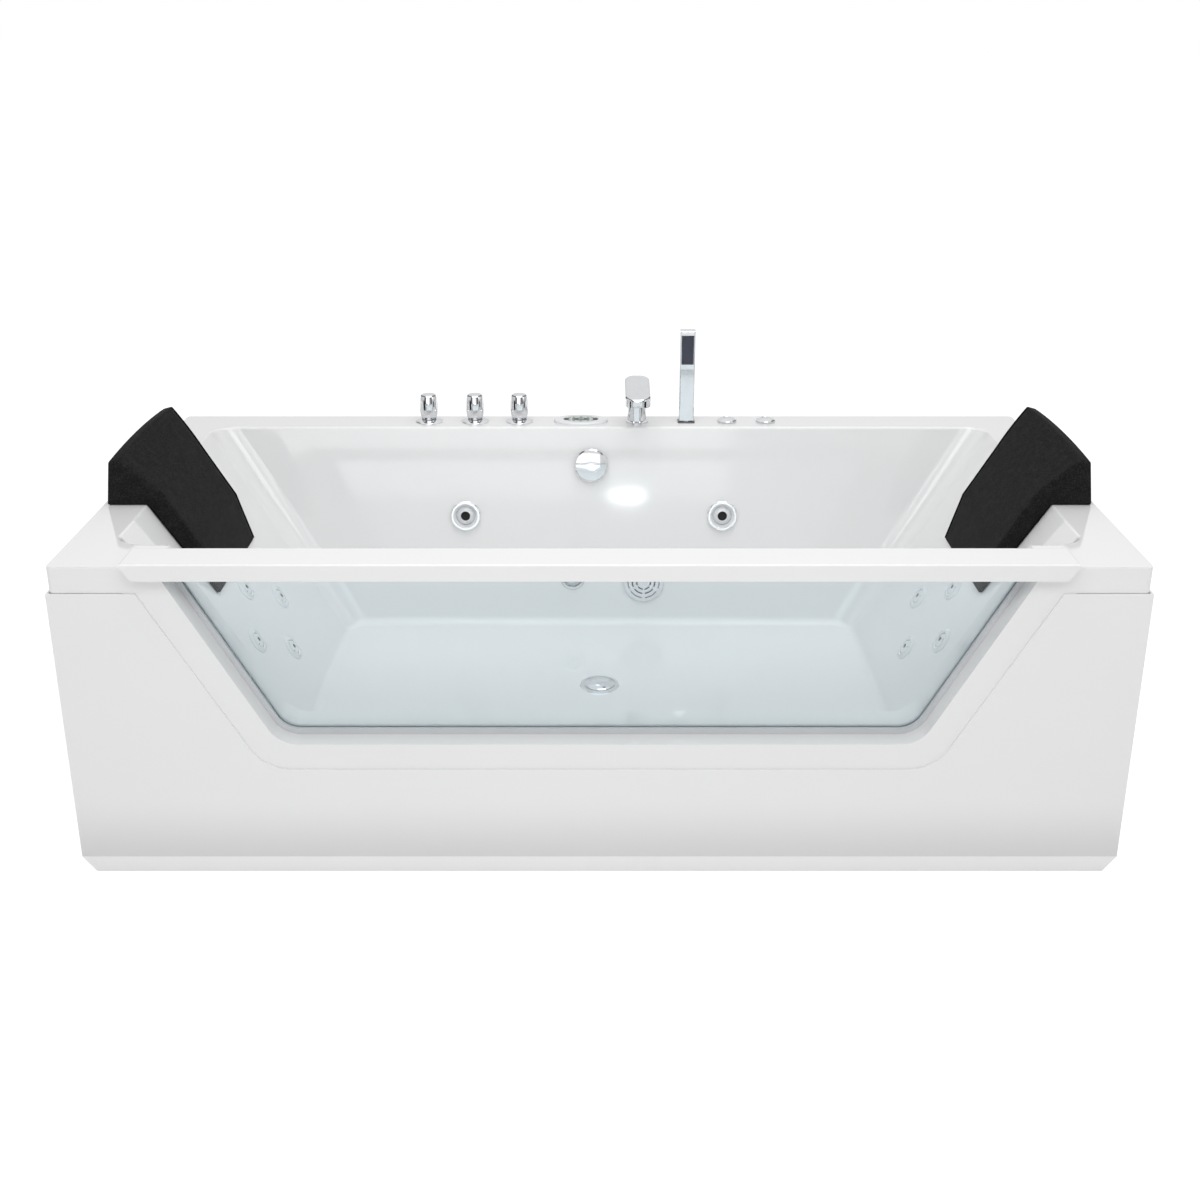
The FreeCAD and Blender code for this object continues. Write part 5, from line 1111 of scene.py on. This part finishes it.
@dataclass
class Repeats(Assembly):
    """Small parts that repeat, spread by Geometry Nodes."""

    margin: float = 0.002
    foot_inner: float = 0.28
    foot_outer: float = 0.76
    foot_spread: float = 0.25
    thread_start: float = 0.0165
    cross_inner: float = 0.29
    cross_outer: float = 0.69
    rail_inside: float = 0.235
    pump_face: Point = (0.785, 0.2965, 0.230)
    box_depth: float = 0.150
    screw_inset: float = 0.011
    clamp_start: float = 0.03
    band_thickness: float = 0.0007
    lock_rise: float = 0.002
    screw: tuple[float, float] = (0.0034, 0.022)

    def _grid(self, tree: Pattern, columns: str, rows: str) -> bpy.types.NodeSocket:
        """A grid of points as wide and as high as the Width and Height inputs.

        Args:
            tree: the tree.
            columns: the input that holds how many points stand side by side.
            rows: the input that holds how many stand above each other.

        Returns:
            The grid.
        """
        labels = {"Size X": "Width", "Size Y": "Height", "Vertices X": columns, "Vertices Y": rows}
        sockets = {socket: tree.size(label) for socket, label in labels.items()}
        return tree.node("GeometryNodeMeshGrid", None, sockets).outputs[0]

    def _ball(self, tree: Pattern, radius: Value, segments: int = 10) -> bpy.types.NodeSocket:
        """A ball with a rim of so many segments."""
        sockets = {"Segments": segments, "Rings": segments // 2 + 1, "Radius": radius}
        return tree.node("GeometryNodeMeshUVSphere", None, sockets).outputs[0]

    def _bar(self, tree: Pattern, sides: int, radius: Any, depth: Any) -> bpy.types.NodeSocket:
        """A closed prism or cylinder about Z."""
        sockets = {"Vertices": sides, "Radius": radius, "Depth": depth}
        return tree.node("GeometryNodeMeshCylinder", None, sockets).outputs[0]

    def _row(
        self, tree: Pattern, count: Any, step: Any, start: Any = (0.0, 0.0, 0.0)
    ) -> bpy.types.NodeSocket:
        """Points in a row."""
        sockets = {"Count": count, "Offset": step, "Start Location": start}
        return tree.node("GeometryNodeMeshLine", None, sockets).outputs[0]

    def _fours(self, tree: Pattern, shape: bpy.types.NodeSocket) -> bpy.types.NodeSocket:
        """Puts a shape at the corners of two rectangles, the Inner and the Outer one, Spread apart in Y.

        Args:
            tree: the tree, which has these three inputs.
            shape: the shape.

        Returns:
            The eight instances.
        """
        grids = []
        for label in ("Inner", "Outer"):
            sockets = {"Vertices X": 2, "Vertices Y": 2}
            sockets.update({"Size X": tree.size(label), "Size Y": tree.size("Spread")})
            grids.append(tree.node("GeometryNodeMeshGrid", None, sockets).outputs[0])
        return tree.spread(tree.join(*grids), shape)

    def _doubled(self, inner: float, outer: float, spread: float) -> dict[str, float]:
        """The inputs that _fours takes, from distances to the middle."""
        return {"Inner": inner * 2, "Outer": outer * 2, "Spread": spread * 2}

    def _real(self, tree: Pattern, instances: bpy.types.NodeSocket) -> bpy.types.NodeSocket:
        """Instances made real, so that they can be spread again."""
        return tree.node("GeometryNodeRealizeInstances", None, {0: instances}).outputs[0]

    def _spray_nozzles(self) -> None:
        """The grid of soft nozzles on the hand shower's plate."""
        low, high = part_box("shower_plate")
        width = high.x - low.x - self.margin * 2
        height = high.z - low.z - self.margin * 2
        sizes = {"Width": width, "Height": height, "Columns": 6, "Rows": 15, "Nub": 0.0009}
        tree = Pattern("spray_nozzles", sizes, Finishes.NUBS)
        nubs = tree.spread(self._grid(tree, "Columns", "Rows"), self._ball(tree, tree.size("Nub")))
        centre = middle("shower_plate")
        mesh = tree.mesh(nubs, towards((centre.x, low.y, centre.z), (0.0, -1.0, 0.0)))
        self.add("spray_nozzles", smooth(mesh), "hand_shower", Finishes.NUBS)

    def _threads(self) -> None:
        """The threads of the levelling feet."""
        across = self._doubled(self.foot_inner, self.foot_outer, self.foot_spread)
        sizes = {**across, "Turns": 66, "Pitch": 0.00125, "Core": 0.0057, "Crest": 0.00625}
        tree = Pattern("stud_threads", sizes, Finishes.ZINC)
        pitch = tree.size("Pitch")
        radii = {"Radius Top": tree.size("Core"), "Radius Bottom": tree.size("Crest")}
        turn = tree.node("GeometryNodeMeshCone", None, {"Vertices": 18, "Depth": pitch, **radii}).outputs[0]
        row = self._row(tree, tree.size("Turns"), tree.vector(z=pitch))
        stud = self._real(tree, tree.spread(row, turn))
        mesh = tree.mesh(self._fours(tree, stud), Matrix.Translation((0.0, 0.0, self.thread_start)))
        self.add("stud_threads", smooth(mesh), "tub", Finishes.ZINC)

    def _weld_beads(self) -> None:
        """Rippled welds where the frame's cross tubes meet its rails."""
        across = self._doubled(self.cross_inner, self.cross_outer, self.rail_inside)
        sizes = {**across, "Ripples": 14, "Step": 0.0021, "Bead": 0.0024}
        tree = Pattern("weld_beads", sizes, Finishes.WELD)
        step, ripples = tree.size("Step"), tree.size("Ripples")
        line = self._row(tree, ripples, tree.vector(x=step), tree.vector(x=step * ripples * -0.5))
        seam = self._real(tree, tree.spread(line, self._ball(tree, tree.size("Bead"))))
        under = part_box("steel_frame")[0].z
        mesh = tree.mesh(self._fours(tree, seam), Matrix.Translation((0.0, 0.0, under)))
        self.add("weld_beads", smooth(mesh), "tub", Finishes.WELD)

    def _pump_bolts(self) -> None:
        """Hexagon bolts round the pump's cover."""
        sizes = {"Circle": 0.046, "Bolts": 6, "Flats": 0.0046, "Head": 0.004}
        tree = Pattern("pump_bolts", sizes, Finishes.ZINC)
        sockets = {"Vertices": tree.size("Bolts"), "Radius": tree.size("Circle")}
        circle = tree.node("GeometryNodeMeshCircle", None, sockets).outputs[0]
        heads = tree.spread(circle, self._bar(tree, 6, tree.size("Flats"), tree.size("Head")))
        mesh = tree.mesh(heads, towards(self.pump_face, (0.0, 1.0, 0.0)))
        self.add("pump_bolts", mesh, "tub", Finishes.ZINC)

    def _lid_screws(self) -> None:
        """Domed screws in the corners of the control box."""
        low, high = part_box("control_box")
        width = high.x - low.x - self.screw_inset * 2
        height = self.box_depth - self.screw_inset * 2
        sizes = {"Width": width, "Height": height, "Pair": 2, "Screw": 0.0036}
        tree = Pattern("lid_screws", sizes, Finishes.ZINC)
        dome = tree.moved(self._ball(tree, tree.size("Screw"), 20), Scale=(1.0, 1.0, 0.5))
        place = Matrix.Translation(((low.x + high.x) / 2, low.y + self.box_depth / 2, high.z))
        mesh = tree.mesh(tree.spread(self._grid(tree, "Pair", "Pair"), dome), place)
        self.add("lid_screws", smooth(mesh), "tub", Finishes.ZINC)

    def _clamps(self) -> None:
        """Two worm-drive clamps on the suction pipe."""
        low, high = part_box("suction_pipe")
        radius = (high.z - low.z) / 2
        band_radius = radius + self.band_thickness
        sizes = {"Band": band_radius, "Width": 0.009, "Apart": 0.5, "Lock": (0.012, 0.006, 0.0105)}
        tree = Pattern("pipe_clamps", sizes, Finishes.ZINC)
        above = tree.vector(y=tree.size("Band") + self.lock_rise)
        band = self._bar(tree, 48, tree.size("Band"), tree.size("Width"))
        lock = tree.node("GeometryNodeMeshCube", None, {"Size": tree.size("Lock")}).outputs[0]
        screw = self._bar(tree, 6, *self.screw)
        turned = tree.moved(screw, Rotation=(0.0, math.pi / 2, 0.0), Translation=above)
        clamp = tree.join(band, tree.moved(lock, Translation=above), turned)
        row = self._row(tree, 2, tree.vector(z=tree.size("Apart")))
        centre = (low.x + self.clamp_start, high.y - radius, (low.z + high.z) / 2)
        mesh = tree.mesh(tree.spread(row, clamp), towards(centre, (1.0, 0.0, 0.0)))
        self.add("pipe_clamps", smooth(mesh), "tub", Finishes.ZINC)

    def build(self) -> None:
        """Adds every repeat."""
        self._spray_nozzles()
        self._threads()
        self._weld_beads()
        self._pump_bolts()
        self._lid_screws()
        self._clamps()


# ---------------------------------------------------------------- studio


@dataclass(frozen=True)
class Lamp:
    """One soft lamp: its place, the point that it looks at, its width and height, and its power."""

    name: str
    place: Point
    aim: Point
    size: tuple[float, float]
    watts: float
    shape: str = "RECTANGLE"


@dataclass
class Studio:
    """The camera, the lamps, the pale world and the floor."""

    camera_place: Point = (0.0, -2.6683, 1.4604)
    camera_pitch: float = math.radians(69.236)
    lens: float = 44.586
    shift: tuple[float, float] = (0.0004, -0.04425)
    floor_half: float = 12.0
    world_strength: float = 0.6
    room_greys: tuple[tuple[float, float], ...] = ((0.0, 0.92), (0.47, 0.55), (0.56, 0.78), (1.0, 1.0))
    flag_inner: tuple[float, float] = (0.42, 0.52)
    flag_outer: tuple[float, float] = (0.72, 0.86)
    flag_weight: float = 0.85
    flag_colour: Colour = (0.05, 0.05, 0.055)
    floor_paint: float = 0.85
    floor_glow: float = 1.3
    floor_share: float = 0.72
    lamps: tuple[Lamp, ...] = (
        Lamp("overhead", (0.1, -0.2, 3.0), (0.0, 0.0, 0.5), (2.4, 1.6), 25.0),
        Lamp("front_key", (0.0, -1.75, 1.95), (0.0, -0.44, 0.5), (2.8, 0.7), 14.0),
        Lamp("front_fill", (-0.6, -3.8, 1.2), (0.0, 0.0, 0.3), (2.6, 1.2), 12.0),
        Lamp("side_fill", (3.2, -1.2, 2.0), (0.3, 0.0, 0.4), (1.2, 1.8), 5.0),
        Lamp("sparkle", (0.13, -3.4, 0.6), (0.06, 0.33, 0.41), (0.19, 0.085), 1.1, "ELLIPSE"),
    )

    def _camera(self) -> None:
        """The camera at the photograph's angle."""
        data = bpy.data.cameras.new("camera")
        data.sensor_width = 36.0
        data.lens = self.lens
        data.shift_x, data.shift_y = self.shift
        camera = stand("camera", data)
        camera.location = self.camera_place
        camera.rotation_euler = (self.camera_pitch, 0.0, 0.0)
        bpy.context.scene.camera = camera

    def _light(self, lamp: Lamp) -> None:
        """Adds one soft lamp.

        Args:
            lamp: what the lamp is like.
        """
        data = bpy.data.lights.new(lamp.name, "AREA")
        data.shape = lamp.shape
        data.size, data.size_y = lamp.size
        data.energy = lamp.watts
        stand(lamp.name, data).matrix_world = towards(lamp.place, Vector(lamp.place) - Vector(lamp.aim))

    def _world(self) -> None:
        """A pale room: white where it is seen, grey with dark flags in mirrors, and dimmer as a light."""
        world = bpy.data.worlds.new("room")
        bpy.context.scene.world = world
        tree = ShaderTree(world)
        seen = tree.rays("Camera", "Transmission")
        glossy = tree.rays("Glossy")
        heading = tree.node("ShaderNodeTexCoord").outputs["Generated"]
        parts = tree.node("ShaderNodeSeparateXYZ", None, {0: heading}).outputs
        stops = [(position, grey(level)) for position, level in self.room_greys]
        ramp = tree.node("ShaderNodeValToRGB", {"stops": stops}, {0: Value(tree, parts[2]) * 0.5 + 0.5})
        aside = abs(Value(tree, parts[0]))
        flags = aside.ease(*self.flag_inner) - aside.ease(*self.flag_outer)
        dimmed = tree.mix(flags * glossy * self.flag_weight, ramp.outputs[0], self.flag_colour)
        colour = tree.mix(seen, dimmed, grey(1.0))
        strength = self.world_strength + glossy.larger(seen) * (1.0 - self.world_strength)
        inputs = {"Color": colour, "Strength": strength}
        tree.close(tree.node("ShaderNodeBackground", None, inputs).outputs[0])

    def _floor(self) -> None:
        """A white floor that keeps the tub's shadow."""
        half = self.floor_half
        mesh = bpy.data.meshes.new("floor")
        corners = [(-half, -half, 0.0), (half, -half, 0.0), (half, half, 0.0), (-half, half, 0.0)]
        mesh.from_pydata(corners, [], [(0, 1, 2, 3)])
        material = bpy.data.materials.new("floor_white")
        tree = ShaderTree(material)
        seen = tree.rays("Camera", "Glossy", "Transmission")
        colour = (*grey(self.floor_paint), 1.0)
        paint = tree.node("ShaderNodeBsdfDiffuse", None, {"Color": colour}).outputs[0]
        light = {"Color": (*grey(1.0), 1.0), "Strength": self.floor_glow}
        glow = tree.node("ShaderNodeEmission", None, light).outputs[0]
        mixed = tree.node("ShaderNodeMixShader", None, {0: seen * self.floor_share, 1: paint, 2: glow})
        tree.close(mixed.outputs[0])
        mesh.materials.append(material)
        floor = stand("floor", mesh)

    def build(self) -> None:
        """Sets up the whole studio."""
        self._camera()
        self._world()
        self._floor()
        for lamp in self.lamps:
            self._light(lamp)
        bpy.context.scene.view_settings.view_transform = "Standard"


# ---------------------------------------------------------------- the tub


class Tub(Assembly):
    """The moulded shell, its skirts and the glazed front."""

    def build(self) -> None:
        """Dresses the shell, rail, skirts, plinth, glass and seal."""
        self.dress(Finishes.SHELL, "tub_shell")
        self.dress(Finishes.SKIRT, "front_apron", "left_apron", "right_apron")
        self.dress(Finishes.KICK, "plinth")
        self.dress(Finishes.RAIL, "front_rail")
        self.dress(Finishes.GLASS, "window_glass")
        self.dress(Finishes.SEAL, "window_seal")


class Fittings(Assembly):
    """Everything that stands on the deck or in the walls of the basin."""

    def build(self) -> None:
        """Dresses the fittings."""
        self.dress(Finishes.CHROME, "drain_flange", "drain_plug", "overflow_knob", "tap_flanges")
        self.dress(Finishes.CHROME, "knob_hot", "knob_divert", "knob_cold", "spout", "hand_shower")
        self.dress(Finishes.CHROME, "lamp_bezel", "air_knob_left", "air_knob_right")
        self.dress(Finishes.RING, "jet_ring_left", "jet_ring_right")
        self.dress(Finishes.WHITE, "back_jet_bodies", "jet_nozzle_left", "jet_nozzle_right")
        self.dress(Finishes.WHITE, "end_jet_bodies", "suction_grille", "panel_housing")
        self.dress(Finishes.WHITE, *(f"end_rotor_{number}" for number in range(1, 9)))
        self.dress(Finishes.NOZZLES, "shower_plate")
        self.dress(Finishes.DARK, "shower_holder")
        self.dress(Finishes.LENS, "lamp_lens")
        self.dress(Finishes.FILM, "panel_display")
        self.dress(Finishes.SCREEN, "button_left", "button_right")


class Underside(Assembly):
    """The frame, the plumbing and the pump under the deck."""

    def build(self) -> None:
        """Dresses what stands under the tub."""
        self.dress(Finishes.FRAME, "steel_frame")
        self.dress(Finishes.ZINC, "levelling_feet", "foot_lock_nuts")
        self.dress(Finishes.BOARD, "base_board")
        self.dress(Finishes.BRASS, "valve_bodies")
        self.dress(Finishes.PIPE, "waste_trap", "overflow_body", "overflow_pipe", "suction_body")
        self.dress(Finishes.PIPE, "suction_pipe", "water_pipes", "air_pipes", "air_valves")
        self.dress(Finishes.DARK, "pump_volute", "control_box")
        self.dress(Finishes.MOTOR, "pump_motor")


def main() -> None:
    """Builds the object and the studio round it."""
    logging.basicConfig(level=logging.INFO, format="%(name)s: %(message)s")
    assemblies: Iterable[Any] = (
        Tub(),
        Fittings(),
        Underside(),
        Headrest(-1, "headrest_left"),
        Headrest(1, "headrest_right"),
        JetBoreShade(),
        PanelScreen(),
        Repeats(),
        Studio(),
    )
    for assembly in assemblies:
        assembly.build()


if __name__ == "__main__":
    main()
